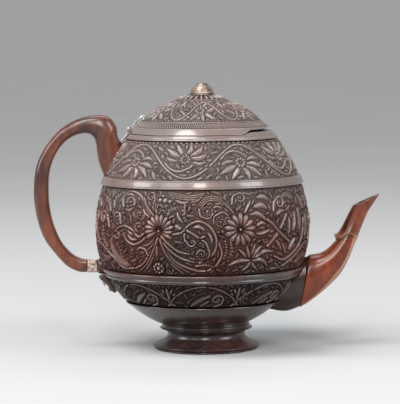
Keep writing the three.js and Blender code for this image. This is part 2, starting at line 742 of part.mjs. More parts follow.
function footPeg() {
  const headBottom = lowerEggZ(FOOT_PEG_HEAD_RADIUS, WALL) + GAP;
  const headTop = headBottom + FOOT_PEG_HEAD;
  return turned([
    [0, FOOT_PEG_BOTTOM], [FOOT_PEG_RADIUS, FOOT_PEG_BOTTOM], [FOOT_PEG_RADIUS, headBottom],
    [FOOT_PEG_HEAD_RADIUS, headBottom], [FOOT_PEG_HEAD_RADIUS - FOOT_PEG_CHAMFER, headTop], [0, headTop],
  ], FOOT_PEG_SIDES, EGG_AXIS_X);
}

// Handle

function tenonRod(radius, from = TENON_ROOT_X, to = TENON_END_X + WALL) {
  return rod(radius, from, to, ROUND_SIDES, new THREE.Vector3(0, 0, TENON_Z), new THREE.Vector3(1, 0, 0));
}

function handle() {
  const inner = outline(HANDLE, 'inner');
  const outer = outline(HANDLE, 'outer');
  const rings = [];
  for (let i = 0; i <= HANDLE_STEPS; i += 1) {
    const t = i / HANDLE_STEPS;
    const width = valueAlong(HANDLE, 'width', t);
    const [near, far] = [inner.getPoint(t), outer.getPoint(t)];
    rings.push(section(near, far, width, HANDLE_SECTION_POINTS, HANDLE_SQUARENESS));
  }
  const knuckleRoom = FIXED_KNUCKLE_OUTER + GAP;
  const seated = cut(loft(rings), [
    ...seat(),
    fixedLeafPlate(GAP),
    rodAcross(KNUCKLE_RADIUS + GAP, -knuckleRoom, knuckleRoom, HINGE_X, HINGE_Z, ROUND_SIDES),
    ...HANDLE_PEG_HEIGHTS.map((z) => pegHole(z, HANDLE_SIDE, HANDLE_PEG_RADIUS, HANDLE_PEG_DEPTH)),
  ]);
  const withTenon = join([seated, tenonRod(TENON_RADIUS, TENON_ROOT_X, TENON_END_X)]);
  return cut(withTenon, [ferrulePinHole()]);
}

function ferrulePinHole() {
  const reach = FERRULE_HALF_WIDTH + 1;
  return rodAcross(FERRULE_PIN_RADIUS + FINE_GAP, -reach, reach, FERRULE_PIN_X, TENON_Z, HOLE_SIDES);
}

// Hidden peg from the shell's wall into the handle's pad or the spout's root
function wallPeg(z, side, radius, depth) {
  const { point, out } = eggSpot(z, side);
  return rod(radius, -WALL + GAP, depth, PEG_SIDES, point, out);
}

function pegHole(z, side, radius, depth) {
  const { point, out } = eggSpot(z, side);
  return rod(radius + GAP, -1, depth + GAP, PEG_SIDES, point, out);
}

// Block along X with rounded edges, bored for the handle's tenon
function boredBlock(fromX, toX, halfHeight, halfWidth) {
  const rings = [fromX, toX].map((x) => section(
    new THREE.Vector3(x, 0, TENON_Z - halfHeight),
    new THREE.Vector3(x, 0, TENON_Z + halfHeight),
    2 * halfWidth, BLOCK_SECTION_POINTS, BLOCK_SQUARENESS,
  ));
  return { block: loft(rings), bore: tenonRod(TENON_RADIUS + GAP) };
}

function ferrule() {
  const { block, bore } = boredBlock(
    FERRULE_OUTER_X, FERRULE_INNER_X, FERRULE_HALF_HEIGHT, FERRULE_HALF_WIDTH,
  );
  return cut(block, [bore, ferrulePinHole()]);
}

function ferrulePin() {
  const reach = FERRULE_HALF_WIDTH + PIN_PROUD;
  return rodAcross(FERRULE_PIN_RADIUS, -reach, reach, FERRULE_PIN_X, TENON_Z, HOLE_SIDES);
}

function collar() {
  const { block, bore } = boredBlock(COLLAR_OUTER_X, COLLAR_INNER_X, COLLAR_HALF_HEIGHT, COLLAR_HALF_WIDTH);
  return cut(block, [bore, ...seat()]);
}

// Thickness of the tail plate at a height
function tailThickness(z) {
  return THREE.MathUtils.mapLinear(z, TAIL_TOP_Z, TAIL_TIP_Z, TAIL_TOP_THICK, TAIL_TIP_THICK);
}

// Tapered plate that lies down the shell below the collar
function tailPlate() {
  const rings = evenly(0, 1, TAIL_STEPS).map((t) => {
    const z = THREE.MathUtils.lerp(TAIL_TOP_Z, TAIL_TIP_Z, t);
    const width = THREE.MathUtils.lerp(TAIL_TOP_WIDTH, TAIL_TIP_WIDTH, t * t);
    const { point, out } = eggSpot(z, HANDLE_SIDE);
    const inside = point.clone().addScaledVector(out, -TAIL_INTO_SHELL);
    const outside = point.clone().addScaledVector(out, tailThickness(z));
    return section(inside, outside, width, TAIL_SECTION_POINTS, TAIL_SQUARENESS);
  });
  const collarMiddle = new THREE.Vector3(0, 0, TENON_Z + COLLAR_HALF_WIDTH - COLLAR_HALF_HEIGHT);
  const collarRoom = rod(
    COLLAR_HALF_WIDTH + GAP, COLLAR_OUTER_X - COLLAR_HALF_WIDTH, COLLAR_INNER_X, BLOCK_SECTION_POINTS,
    collarMiddle, new THREE.Vector3(1, 0, 0),
  );
  return cut(loft(rings), [
    ...seat(),
    collarRoom,
    ...TAIL_RIVET_HEIGHTS.map((z) => shellHole(z, HANDLE_SIDE, RIVET_RADIUS + FINE_GAP)),
  ]);
}

// Rivet along the shell's normal: a spread tail inside, a shank up to `reach`, and a head if asked for
function shellRivet(z, y, reach, headed = true) {
  const { point, out } = eggSpot(z, HANDLE_SIDE, y);
  const inside = -WALL - RIVET_TAIL_GAP;
  const profile = [
    [0, inside - RIVET_TAIL], [RIVET_HEAD_RADIUS, inside - RIVET_TAIL], [RIVET_HEAD_RADIUS, inside],
    [RIVET_RADIUS, inside], [RIVET_RADIUS, reach],
  ];
  if (headed) {
    profile.push([RIVET_HEAD_RADIUS, reach]);
    profile.push([RIVET_CROWN * RIVET_HEAD_RADIUS, reach + RIVET_CROWN * RIVET_HEAD]);
    profile.push([0, reach + RIVET_HEAD]);
  } else {
    profile.push([0, reach]);
  }
  return turnedAlong(profile, PEG_SIDES, point, out);
}

// Spout

function spout() {
  const top = outline(SPOUT, 'top');
  const bottom = outline(SPOUT, 'bottom');
  const bodyRings = [];
  const boreRings = [];
  for (let i = 0; i <= SPOUT_STEPS; i += 1) {
    const t = i / SPOUT_STEPS;
    const upper = top.getPoint(t);
    const lower = bottom.getPoint(t);
    const width = valueAlong(SPOUT, 'width', t);
    bodyRings.push(section(upper, lower, width, SPOUT_SECTION_POINTS, SPOUT_SQUARENESS));
    const boreHalf = lower.clone().sub(upper).setLength(valueAlong(SPOUT, 'bore', t));
    const middle = upper.clone().add(lower).multiplyScalar(0.5);
    const boreUpper = middle.clone().sub(boreHalf);
    const boreLower = middle.clone().add(boreHalf);
    boreRings.push(section(boreUpper, boreLower, 2 * boreHalf.length(), BORE_SIDES, 1));
  }
  // The bore runs a little past both ends so that it breaks through
  const last = boreRings[boreRings.length - 1];
  const before = boreRings[boreRings.length - 2];
  boreRings.push(last.map((point, i) => point.clone().multiplyScalar(2).sub(before[i])));

  return cut(loft(bodyRings), [
    loft(boreRings),
    ...seat(),
    mouthCutter(),
    ...SPOUT_PEG_HEIGHTS.map((z) => pegHole(z, SPOUT_SIDE, SPOUT_PEG_RADIUS, SPOUT_PEG_DEPTH)),
  ]);
}

// Block above the slanted line from the back of the mouth to its tip
function mouthCutter() {
  const reach = 30;
  const [backX, backZ] = MOUTH_BACK;
  const [tipX, tipZ] = MOUTH_TIP;
  const slope = Math.atan2(tipZ - backZ, tipX - backX);
  const block = new THREE.BoxGeometry(2 * reach, reach, reach);
  block.translate(0, 0, reach / 2);
  block.rotateY(-slope);
  block.translate((backX + tipX) / 2, 0, (backZ + tipZ) / 2);
  return block;
}

// Knob and its fastening

function knob() {
  const bud = cut(turned(KNOB_PROFILE, KNOB_SIDES, EGG_AXIS_X), [grownEgg(GAP)]);
  const stem = turned([
    [0, STEM_BOTTOM], [STEM_RADIUS, STEM_BOTTOM], [STEM_RADIUS, STEM_TOP], [0, STEM_TOP],
  ], ROUND_SIDES, EGG_AXIS_X);
  return join([bud, stem]);
}

function disc({ low, high, radius, sides }) {
  const hole = STEM_RADIUS + FINE_GAP;
  return turned([[hole, low], [radius, low], [radius, high], [hole, high], [hole, low]], sides, EGG_AXIS_X);
}

// Hinge

function knuckle(fromY, toY) {
  return rodAcross(KNUCKLE_RADIUS, fromY, toY, HINGE_X, HINGE_Z, ROUND_SIDES);
}

function pinHole() {
  const reach = HINGE_PIN_HALF + 1;
  return rodAcross(HINGE_PIN_RADIUS + PIN_GAP, -reach, reach, HINGE_X, HINGE_Z, PEG_SIDES);
}

// Strip of metal just off the shell's surface between two heights, grown by `grow`
function leafStrip(fromZ, toZ, halfWidth, grow = 0) {
  const rings = evenly(0, 1, LEAF_STEPS).map((t) => {
    const { point, out } = eggSpot(THREE.MathUtils.lerp(fromZ, toZ, t), HANDLE_SIDE);
    const low = point.clone().addScaledVector(out, LEAF_OFF_SURFACE - grow);
    const high = point.clone().addScaledVector(out, LEAF_OFF_SURFACE + LEAF_THICK + grow);
    return section(low, high, 2 * (halfWidth + grow), LEAF_SECTION_POINTS, LEAF_SQUARENESS);
  });
  return loft(rings);
}

// Strap over the lid: it starts at the knuckle and lies just off the lid's surface
function hingeLidLeaf() {
  const strap = leafStrip(HINGE_Z - LID_LEAF_START, LID_LEAF_TOP_Z, LID_LEAF_HALF_WIDTH);
  return cut(join([strap, knuckle(-LID_KNUCKLE_HALF, LID_KNUCKLE_HALF)]), [
    pinHole(),
    ...seat(FINE_GAP),
    ...LID_RIVET_HEIGHTS.map((z) => shellHole(z, HANDLE_SIDE, RIVET_RADIUS + FINE_GAP)),
  ]);
}

function fixedLeafPlate(grow = 0) {
  return leafStrip(HINGE_Z - FIXED_LEAF_START, FIXED_LEAF_BOTTOM_Z - grow, FIXED_LEAF_HALF_WIDTH, grow);
}

// Plate under the top of the handle's pad, with two knuckles around the lid's knuckle
function hingeFixedLeaf() {
  const slot = LID_LEAF_HALF_WIDTH + GAP;
  const clearance = rodAcross(KNUCKLE_RADIUS + GAP, -slot, slot, HINGE_X, HINGE_Z, ROUND_SIDES);
  const plate = cut(fixedLeafPlate(), [clearance]);
  const solid = join([
    plate,
    knuckle(FIXED_KNUCKLE_INNER, FIXED_KNUCKLE_OUTER),
    knuckle(-FIXED_KNUCKLE_OUTER, -FIXED_KNUCKLE_INNER),
  ]);
  return cut(solid, [
    pinHole(),
    ...seat(FINE_GAP),
    shellHole(FIXED_RIVET_Z, HANDLE_SIDE, RIVET_RADIUS + FINE_GAP, -FIXED_RIVET_Y),
    shellHole(FIXED_RIVET_Z, HANDLE_SIDE, RIVET_RADIUS + FINE_GAP, FIXED_RIVET_Y),
  ]);
}

function hingePin() {
  return rodAcross(HINGE_PIN_RADIUS, -HINGE_PIN_HALF, HINGE_PIN_HALF, HINGE_X, HINGE_Z, PEG_SIDES);
}

// Assembly

const teapot = new THREE.Group();

function piece(name, geometry, material) {
  const mesh = new THREE.Mesh(closed(geometry), material);
  mesh.geometry.computeVertexNormals();
  mesh.name = name;
  teapot.add(mesh);
}

function pegPair(name, heights, side, radius, depth) {
  piece(`${name}_upper`, wallPeg(heights[0], side, radius, depth), darkWood);
  piece(`${name}_lower`, wallPeg(heights[1], side, radius, depth), darkWood);
}

piece('shell_body', bodyShell(), shellWood);
piece('lid_shell', lidShell(), shellWood);
piece('foot', foot(), shellWood);
piece('foot_peg', footPeg(), darkWood);

piece('handle', handle(), redWood);
pegPair('handle_peg', HANDLE_PEG_HEIGHTS, HANDLE_SIDE, HANDLE_PEG_RADIUS, HANDLE_PEG_DEPTH);
piece('handle_ferrule', ferrule(), bone);
piece('ferrule_pin', ferrulePin(), silver);
piece('handle_collar', collar(), darkWood);
piece('handle_tail_plate', tailPlate(), darkWood);
['tail_rivet_upper', 'tail_rivet_lower'].forEach((name, i) => {
  const z = TAIL_RIVET_HEIGHTS[i];
  piece(name, shellRivet(z, 0, tailThickness(z) + GAP), silver);
});

piece('spout', spout(), redWood);
pegPair('spout_peg', SPOUT_PEG_HEIGHTS, SPOUT_SIDE, SPOUT_PEG_RADIUS, SPOUT_PEG_DEPTH);

piece('knob', knob(), brass);
piece('knob_washer', disc(WASHER), brass);
piece('knob_burr', disc(BURR), brass);

piece('hinge_lid_leaf', hingeLidLeaf(), silver);
piece('hinge_fixed_leaf', hingeFixedLeaf(), silver);
piece('hinge_pin', hingePin(), silver);
const leafTop = LEAF_OFF_SURFACE + LEAF_THICK;
['hinge_lid_rivet_lower', 'hinge_lid_rivet_upper'].forEach((name, i) => {
  piece(name, shellRivet(LID_RIVET_HEIGHTS[i], 0, leafTop + FINE_GAP), silver);
});
piece('hinge_fixed_rivet_front', shellRivet(FIXED_RIVET_Z, -FIXED_RIVET_Y, leafTop, false), silver);
piece('hinge_fixed_rivet_back', shellRivet(FIXED_RIVET_Z, FIXED_RIVET_Y, leafTop, false), silver);

export default teapot;
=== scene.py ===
import json
import math
import random

import bmesh
import bpy
import numpy as np
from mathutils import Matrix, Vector


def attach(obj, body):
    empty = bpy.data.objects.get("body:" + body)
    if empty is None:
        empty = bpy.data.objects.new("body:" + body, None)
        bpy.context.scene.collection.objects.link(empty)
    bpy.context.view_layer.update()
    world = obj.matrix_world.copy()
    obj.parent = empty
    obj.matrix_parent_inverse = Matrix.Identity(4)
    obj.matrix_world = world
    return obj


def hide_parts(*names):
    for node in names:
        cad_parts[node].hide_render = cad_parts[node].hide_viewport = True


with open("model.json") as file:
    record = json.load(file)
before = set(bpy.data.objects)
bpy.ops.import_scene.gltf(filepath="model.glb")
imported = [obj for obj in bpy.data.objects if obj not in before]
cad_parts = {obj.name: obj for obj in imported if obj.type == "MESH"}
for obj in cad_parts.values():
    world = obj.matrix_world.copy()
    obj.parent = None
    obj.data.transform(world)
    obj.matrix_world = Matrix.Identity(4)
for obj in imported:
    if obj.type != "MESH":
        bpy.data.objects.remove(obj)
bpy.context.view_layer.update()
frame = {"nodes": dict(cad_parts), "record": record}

# Camera, from the photograph's framing
CAMERA_DISTANCE = 1.155
CAMERA_HEIGHT = 0.172
CAMERA_SIDE = -0.0028
AIM = Vector((-0.0028, 0.0, 0.0796))
LENS = 190.0
ROLL = math.radians(-0.5)

# Shapes below are drawn in millimetres and made in metres
MM = 0.001

# Egg of the coconut shell
EGG_RADIUS = 58.9
EGG_EQUATOR_Z = 66.4
EGG_UP = 74.0
EGG_DOWN = 57.1
EGG_UP_POWER = 1.85
EGG_UP_ROOT = 0.588
EGG_AXIS_X = -1.6
WALL = 4.0

# Seam between the body and the lid, which steps up around the spout
SEAM_Z = 117.2
SEAM_GAP = 0.3
BODY_STEP = 1.3
LID_STEP = 2.2
LID_SPOUT_RISE = 0.6
STEP_START = math.radians(57)
STEP_END = math.radians(44)

# Holes for the foot's peg and the knob's stem
PEG_HOLE_RADIUS = 3.3
STEM_HOLE_RADIUS = 1.7

# Heights at which the body's bands meet
FOOT_LINE_Z = 25.4
LOWER_BAND = (26.4, 40.4)
MAIN_BAND = (45.0, 90.1)
SHOULDER_BAND = (94.5, 114.6)

# Carving: depth of the ground, how much lower the lid's top lies, grid of the drawing, fullness of every
# ridge, height of the small forms, and the clear gap round a form
CARVED_DEPTH = 1.5
LID_DEPTH = 1.1
LID_LOWER = 0.9
PIXEL = 0.2
BOLD = 1.08
FILL_RISE = 0.76
FORM_GAP = 0.42

# Small forms, the largest first, and the grid of places where they are tried
FILL_SIZES = (3.3, 2.6, 2.0, 1.5, 1.15)
FILL_PITCH = 0.7

# Bed: the hatched ground between the forms; ground below the bare level carries no form
BED_RISE = 0.33
BED_HATCH = 0.15
BED_PITCH = 1.3
BED_GAP = 0.3
BARE = 0.02

# Steps of the meshes: main band, other bands, lid and plain bands
MAIN_STEP = 0.36
BAND_STEP = 0.4
LID_MESH_STEP = 0.55
PLAIN_STEP = 0.8

QUARTER = math.pi / 2


# Egg surface

def egg_radius(z, inset=0.0):
    """Radius of the egg at a height; inset gives the surface that lies inside it."""
    z = np.asarray(z, float)
    up = np.clip((z - EGG_EQUATOR_Z) / (EGG_UP - inset), 0, 1)
    down = np.clip((EGG_EQUATOR_Z - z) / (EGG_DOWN - inset), 0, 1)
    upper = (1 - up ** EGG_UP_POWER) ** EGG_UP_ROOT
    lower = np.sqrt(1 - down ** 2)
    return (EGG_RADIUS - inset) * np.where(z >= EGG_EQUATOR_Z, upper, lower)


def meridian(inset=0.0):
    """Heights up the egg, evenly turned about its middle, and the arc length to each from below."""
    angle = np.linspace(-QUARTER, QUARTER, 4001)
    reach = np.where(angle < 0, EGG_DOWN - inset, EGG_UP - inset)
    heights = EGG_EQUATOR_Z + reach * np.sin(angle)
    radii = egg_radius(heights, inset)
    arcs = np.concatenate(([0], np.cumsum(np.hypot(np.diff(heights), np.diff(radii)))))
    return heights, arcs


MERIDIAN_HEIGHTS, MERIDIAN_ARCS = meridian()
EGG_TOP_ARC = MERIDIAN_ARCS[-1]


def arc_at(z):
    return np.interp(z, MERIDIAN_HEIGHTS, MERIDIAN_ARCS)


def height_at(arc):
    return np.interp(arc, MERIDIAN_ARCS, MERIDIAN_HEIGHTS)


def egg_normal(z):
    """Outward normal of the egg at a height, as its radial and vertical parts."""
    step = 0.05
    slope = (egg_radius(z + step) - egg_radius(z - step)) / (2 * step)
    length = np.hypot(1, slope)
    return 1 / length, -slope / length


def egg_point(turn, z, proud=0.0, inset=0.0):
    """Points on the egg: turn is 0 at the front (-Y) and a quarter turn at the spout (+X)."""
    radial, vertical = egg_normal(z)
    radius = egg_radius(z, inset) + proud * radial
    return np.stack((EGG_AXIS_X + radius * np.sin(turn), -radius * np.cos(turn), z + proud * vertical), -1)


def smooth_step(t):
    u = np.clip(t, 0, 1)
    return u * u * (3 - 2 * u)


def seam_step(turn):
    """0 round most of the seam, 1 where it steps up round the spout; and the turn away from the spout."""
    away = np.abs(np.arctan2(np.sin(turn - QUARTER), np.cos(turn - QUARTER)))
    return smooth_step((STEP_START - away) / (STEP_START - STEP_END)), away


def body_rim(turn):
    return SEAM_Z + BODY_STEP * seam_step(turn)[0]


def lid_rim(turn):
    step, away = seam_step(turn)
    return SEAM_Z + SEAM_GAP + LID_STEP * step + LID_SPOUT_RISE * smooth_step((STEP_END - away) / STEP_END)


# Lines and ridge profiles

def polar(x, y, reach, angle):
    """The point that lies a reach away from x, y at an angle."""
    return x + reach * math.cos(angle), y + reach * math.sin(angle)


def with_ends(points):
    """The points with one more at either end, straight on from the last two."""
    points = np.array(points, float)
    return np.vstack((2 * points[0] - points[1], points, 2 * points[-1] - points[-2]))


def between(before, start, end, after, t):
    """A smooth curve from start to end, which t runs along from 0 to 1."""
    return 0.5 * (2 * start + (end - before) * t + (2 * before - 5 * start + 4 * end - after) * t ** 2
                  + (3 * start - before - 3 * end + after) * t ** 3)


def curve(points):
    """A smooth curve through the points, with about one sample per pixel."""
    ends = with_ends(points)
    parts = []
    for before, start, end, after in zip(ends, ends[1:], ends[2:], ends[3:]):
        count = max(2, math.ceil(np.hypot(*(end - start)) / PIXEL))
        parts.append(between(before, start, end, after, np.arange(count)[:, None] / count))
    return np.vstack(parts + [ends[-2:-1]])


def spline(rows, count):
    """A smooth curve through rows of numbers, evenly parted in the rows' own numbering."""
    ends = with_ends(rows)
    place = np.linspace(0, len(rows) - 1, count)
    index = np.minimum(place.astype(int), len(rows) - 2)
    return between(*(ends[index + shift] for shift in range(4)), (place - index)[:, None])


def winding(start, centre, turns, shrink=0.32):
    """A spiral from the start point round the centre; positive turns run anticlockwise."""
    start, centre = np.array(start, float), np.array(centre, float)
    radius = np.hypot(*(start - centre))
    angle = math.atan2(*(start - centre)[::-1])
    count = max(8, math.ceil(abs(turns) * 2 * math.pi * radius * 0.7 / PIXEL))
    t = np.linspace(0, 1, count)
    reach = radius * shrink ** t
    around = angle + 2 * math.pi * turns * t
    return centre + np.stack((reach * np.cos(around), reach * np.sin(around)), 1)


# A profile gives a ridge's height from t along it, q from its spine to its edge, and side from -1 to 1

def crowned(t, q, side):
    return (1 - q ** 2) ** 0.6


def fluted(ribs, depth=0.3):
    def profile(t, q, side):
        return (1 - q ** 2.4) ** 0.6 * (1 - depth * (0.5 - 0.5 * np.cos(math.pi * ribs * (side + 1))))
    return profile


def beaded(t, q, side):
    return np.sqrt(1 - 0.96 * q ** 2)


def petal_ridge(t, q, side):
    """A petal: low at its root, rounded, and highest near its end."""
    along = (0.3 + 0.7 * smooth_step(t / 0.7)) * (1 - 0.25 * smooth_step((t - 0.8) / 0.2))
    return along * (1 - q ** 2.2) ** 0.6


def veined(t, q, side):
    """A leaf blade: hollow sides, a sharp midrib and slanting veins."""
    blade = 0.9 - 0.45 * np.abs(side)
    midrib = 0.22 * np.exp(-(side / 0.18) ** 2)
    veins = 0.09 * np.cos(2 * math.pi * (6 * t - 1.1 * np.abs(side)))
    return np.minimum(blade + midrib + veins, 1.0) * np.sqrt(1 - q ** 6)


def smooth_leaf(t, q, side):
    return (0.62 + 0.38 * np.exp(-(side / 0.4) ** 2)) * np.sqrt(1 - q ** 4)


class Carving:
    """Relief of one band laid flat: x runs round the pot and y up it, in mm; 0 ground, 1 top."""

    def __init__(self, length, height):
        self.columns = round(length / PIXEL)
        self.rows = round(height / PIXEL) + 1
        self.length = length
        self.height = height
        self.level = np.zeros((self.rows, self.columns))
        self.rise = 1.0

    def lay(self, path, half_width, profile, gap=FORM_GAP):
        """Lays a ridge over what is there, with a clear gap round it."""
        path = np.asarray(path, float)
        half_width = np.broadcast_to(np.asarray(half_width) * BOLD, len(path))
        heading = np.gradient(path, axis=0)
        heading /= np.maximum(np.hypot(*heading.T), 1e-9)[:, None]
        reach = half_width.max() + gap
        first = np.floor((path.min(0) - reach) / PIXEL).astype(int)
        last = np.ceil((path.max(0) + reach) / PIXEL).astype(int)
        first[1] = max(first[1], 0)
        last[1] = min(last[1], self.rows - 1)
        if last[1] < first[1]:
            return
        xs = np.arange(first[0], last[0] + 1) * PIXEL
        ys = np.arange(first[1], last[1] + 1) * PIXEL
        beyond = np.full((len(ys), len(xs)), np.inf)
        away_at, side_at, along_at = np.zeros((3, len(ys), len(xs)))
        for index, ((x, y), half, (tx, ty)) in enumerate(zip(path, half_width, heading)):
            span = half + gap
            near = tuple(slice(*np.searchsorted(places, (at - span, at + span)))
                         for places, at in ((ys, y), (xs, x)))
            dy, dx = ys[near[0], None] - y, xs[None, near[1]] - x
            away = np.hypot(dx, dy)
            better = away - half < beyond[near]
            beyond[near][better] = (away - half)[better]
            away_at[near][better] = (away / half)[better]
            side_at[near][better] = ((dy * tx - dx * ty) / half)[better]
            along_at[near][better] = index / (len(path) - 1)
        rows = slice(first[1], last[1] + 1)
        columns = np.arange(first[0], last[0] + 1) % self.columns
        block = self.level[rows][:, columns]
        inside = beyond < 0
        halo = (beyond >= 0) & (beyond < gap)
        block[halo] = np.minimum(block[halo], 0.0)
        block[inside] = self.rise * profile(along_at[inside], np.minimum(away_at[inside], 1), side_at[inside])
        self.level[rows, columns] = block

    def free(self, x, y, radius):
        """Tells whether a disc is still bare ground."""
        row, column, span = (round(value / PIXEL) for value in (y, x, radius))
        if row < span or row > self.rows - 1 - span or self.level[row, column % self.columns] > BARE:
            return False
        columns = np.arange(column - span, column + span + 1) % self.columns
        block = self.level[row - span:row + span + 1][:, columns]
        disc = np.hypot(*np.ogrid[-span:span + 1, -span:span + 1]) <= span
        return not (block[disc] > BARE).any()

    def dot(self, x, y, radius, profile):
        self.lay([(x, y), (x, y + 1e-3)], radius, profile)

    def bead(self, x, y, radius):
        self.dot(x, y, radius, beaded)

    def beads(self, points, radius, spacing):
        for x, y in curve(points)[::max(1, round(spacing / PIXEL))]:
            self.bead(x, y, radius)

    def ring_of_beads(self, x, y, reach, radius, angles):
        for angle in angles:
            self.bead(*polar(x, y, reach, math.radians(angle)), radius)

    def ring(self, x, y, radius, half_width):
        angle = np.linspace(0, 2 * math.pi, max(24, round(2 * math.pi * radius / PIXEL)))
        self.lay(np.stack((x + radius * np.cos(angle), y + radius * np.sin(angle)), 1), half_width, crowned)

    def strand(self, points, start, end, profile=crowned):
        """A stem or strand that tapers from one half width to another."""
        path = curve(points)
        self.lay(path, start + (end - start) * np.linspace(0, 1, len(path)), profile)

    def tendril(self, points, centre, turns, start, end=0.3, profile=crowned, bead=0.55):
        """A strand that winds into a scroll, and mostly ends in a bead."""
        path = np.vstack((curve(points), winding(points[-1], centre, turns)[1:]))
        self.lay(path, np.linspace(start, end, len(path)), profile)
        if bead:
            self.bead(*centre, bead)

    def leaf(self, points, half_width, profile=veined, teeth=0):
        path = curve(points)
        t = np.linspace(0, 1, len(path))
        width = half_width * np.sin(math.pi * np.clip(t, 0.02, 0.98) ** 0.8)
        if teeth:
            width = width * (0.8 + 0.2 * np.abs(np.sin(math.pi * teeth * t)))
        self.lay(path, np.maximum(width, 0.12), profile)

    def petals(self, x, y, inner, outer, count, half_width, first=0.0, sweep=360.0):
        """Petals that widen outwards, from the angle first over the angle sweep."""
        t = np.linspace(0, 1, 24)
        reach = inner + (outer - inner) * t
        width = half_width * (0.25 + 0.75 * np.sin(math.pi * 0.62 * t) ** 1.2)
        for index in range(count):
            angle = math.radians(first + sweep * index / (count if sweep >= 360.0 else count - 1))
            self.lay(np.stack(polar(x, y, reach, angle), 1), width, petal_ridge, gap=0.3)

    def flower(self, x, y, outer, count):
        self.petals(x, y, outer * 0.2, outer * 0.86, count, math.pi * outer * 0.56 / count)
        self.bead(x, y, outer * 0.13)

    def rosette(self, x, y, radius, count):
        self.dot(x, y, radius, lambda t, q, side: 0.6 * np.sqrt(1 - q ** 6))
        for index in range(count):
            self.bead(*polar(x, y, radius * 0.66, 2 * math.pi * index / count), radius * 0.27)
        self.bead(x, y, radius * 0.33)

    def frond(self, points, lobes, length, half_width, hands=(1, -1)):
        """A cut leaf: lobes slant off a spine to both sides, or to the side of one hand."""
        path = curve(points)
        heading = np.gradient(path, axis=0)
        for index in range(lobes):
            t = (index + 0.5) / lobes
            at = round(t * (len(path) - 1))
            root, angle = path[at], math.atan2(heading[at][1], heading[at][0])
            size = length * math.sin(math.pi * (0.12 + 0.8 * t)) ** 0.7
            for side in hands:
                middle = polar(*root, 0.55 * size, angle + side * 0.95)
                tip = polar(*middle, 0.55 * size, angle + side * 0.35)
                self.leaf([root, middle, tip], half_width, fluted(1))
        self.lay(path, np.linspace(0.45, 0.2, len(path)), crowned, gap=0.15)

    def fan(self, x, y, turn, reach, half_width, count=5, spread=0.42, profile=fluted(1)):
        """Leaves that spread from one root, the middle one the longest."""
        leans = [index - (count - 1) / 2 for index in range(count)]
        for lean in sorted(leans, key=lambda lean: -abs(lean)):
            angle = turn + spread * lean
            size = reach * (1 - 0.07 * lean ** 2)
            middle = polar(x, y, 0.5 * size, angle - 0.12 * lean)
            self.leaf([(x, y), middle, polar(x, y, size, angle)], half_width, profile)

    def fill(self, seed):
        """Fills bare ground with small scrolls and leaves in lower relief, the largest first."""
        draw = random.Random(seed)
        self.rise = FILL_RISE
        for radius in FILL_SIZES:
            for row in range(int(self.height / FILL_PITCH)):
                for column in range(int(self.length / FILL_PITCH)):
                    x = (column + draw.random()) * FILL_PITCH
                    y = (row + draw.random()) * FILL_PITCH
                    if self.free(x, y, radius):
                        self.filler(x, y, radius, draw)

    def filler(self, x, y, radius, draw):
        turn = draw.random() * 2 * math.pi
        hand = draw.choice((-1, 1))
        if radius > 1.7 and draw.random() < 0.35:
            self.curl(x, y, radius, turn, hand)
        elif radius > 1.7:
            self.palmette(x, y, radius, turn, draw.choice((3, 4, 5)))
        else:
            self.long_leaf(x, y, radius, turn)

    def curl(self, x, y, radius, turn, hand):
        """A comma scroll that ends in a bead."""
        scroll = winding(polar(x, y, radius * 0.85, turn), (x, y), 1.15 * hand, 0.3)
        self.lay(scroll, np.linspace(0.55, 0.35, len(scroll)) * radius ** 0.35, fluted(1, 0.2))
        self.bead(x, y, 0.26 * radius)

    def palmette(self, x, y, radius, turn, count):
        """A fan of leaves that fills a round spot."""
        root = polar(x, y, -0.95 * radius, turn)
        self.fan(*root, turn, 2.0 * radius, 0.9 * radius / count + 0.12, count, 1.5 / count)

    def long_leaf(self, x, y, radius, turn):
        """A leaf that runs along the longest free way through a spot."""
        for reach in (2.4, 1.8, 1.3, 1.0):
            for step in range(6):
                angle = turn + step * math.pi / 6
                dx, dy = polar(0, 0, reach * radius, angle)
                if all(self.free(x + share * dx, y + share * dy, clear)
                       for share, clear in ((1, 0.45), (-1, 0.45), (0.5, 0.7), (-0.5, 0.7))):
                    bow = 0.25 * radius
                    middle = (x - bow * math.sin(angle), y + bow * math.cos(angle))
                    self.leaf([(x - dx, y - dy), middle, (x + dx, y + dy)], radius * 0.62, fluted(1, 0.32))
                    return
        self.bead(x, y, radius * 0.75)

    def raise_bed(self):
        """Lifts and hatches the ground that lies clear of the forms, so that only narrow gaps are deep."""
        x = (np.arange(self.columns) * PIXEL)[None, :]
        y = (np.arange(self.rows) * PIXEL)[:, None]
        waves = round(self.length / BED_PITCH)
        hatch = np.sin(2 * math.pi * (waves * x / self.length + 0.7 * y / BED_PITCH) + 1.5 * np.sin(0.9 * y))
        clear = (self.level < BARE) & (self.surroundings(BED_GAP) < BARE / 2)
        self.level[clear] = (BED_RISE + BED_HATCH * hatch)[clear]

    def soften(self):
        level = self.level
        level = (np.roll(level, 1, 1) + 2 * level + np.roll(level, -1, 1)) / 4
        padded = np.vstack((level[:1], level, level[-1:]))
        self.level = (padded[:-2] + 2 * level + padded[2:]) / 4

    def complete(self, seed):
        """The last steps of a drawing: small forms between the large ones, the bed, and softer edges."""
        self.fill(seed)
        self.raise_bed()
        self.soften()
        return self

    def surroundings(self, reach=1.1):
        """The level averaged over a patch, to tell hollows from crests."""
        span = round(reach / PIXEL)
        size = 2 * span + 1
        wide = np.pad(self.level, ((span, span), (0, 0)), mode="edge")
        wide = np.pad(wide, ((0, 0), (span, span)), mode="wrap")
        for _ in range(2):
            total = np.insert(np.cumsum(wide, axis=0), 0, 0, axis=0)
            wide = ((total[size:] - total[:-size]) / size).T
        return wide

    def layers(self, x, y):
        """The drawing's level at places in mm, and how far it stands above its surroundings there."""
        level = self.sample(self.level, x, y)
        return level, level - self.sample(self.surroundings(), x, y)

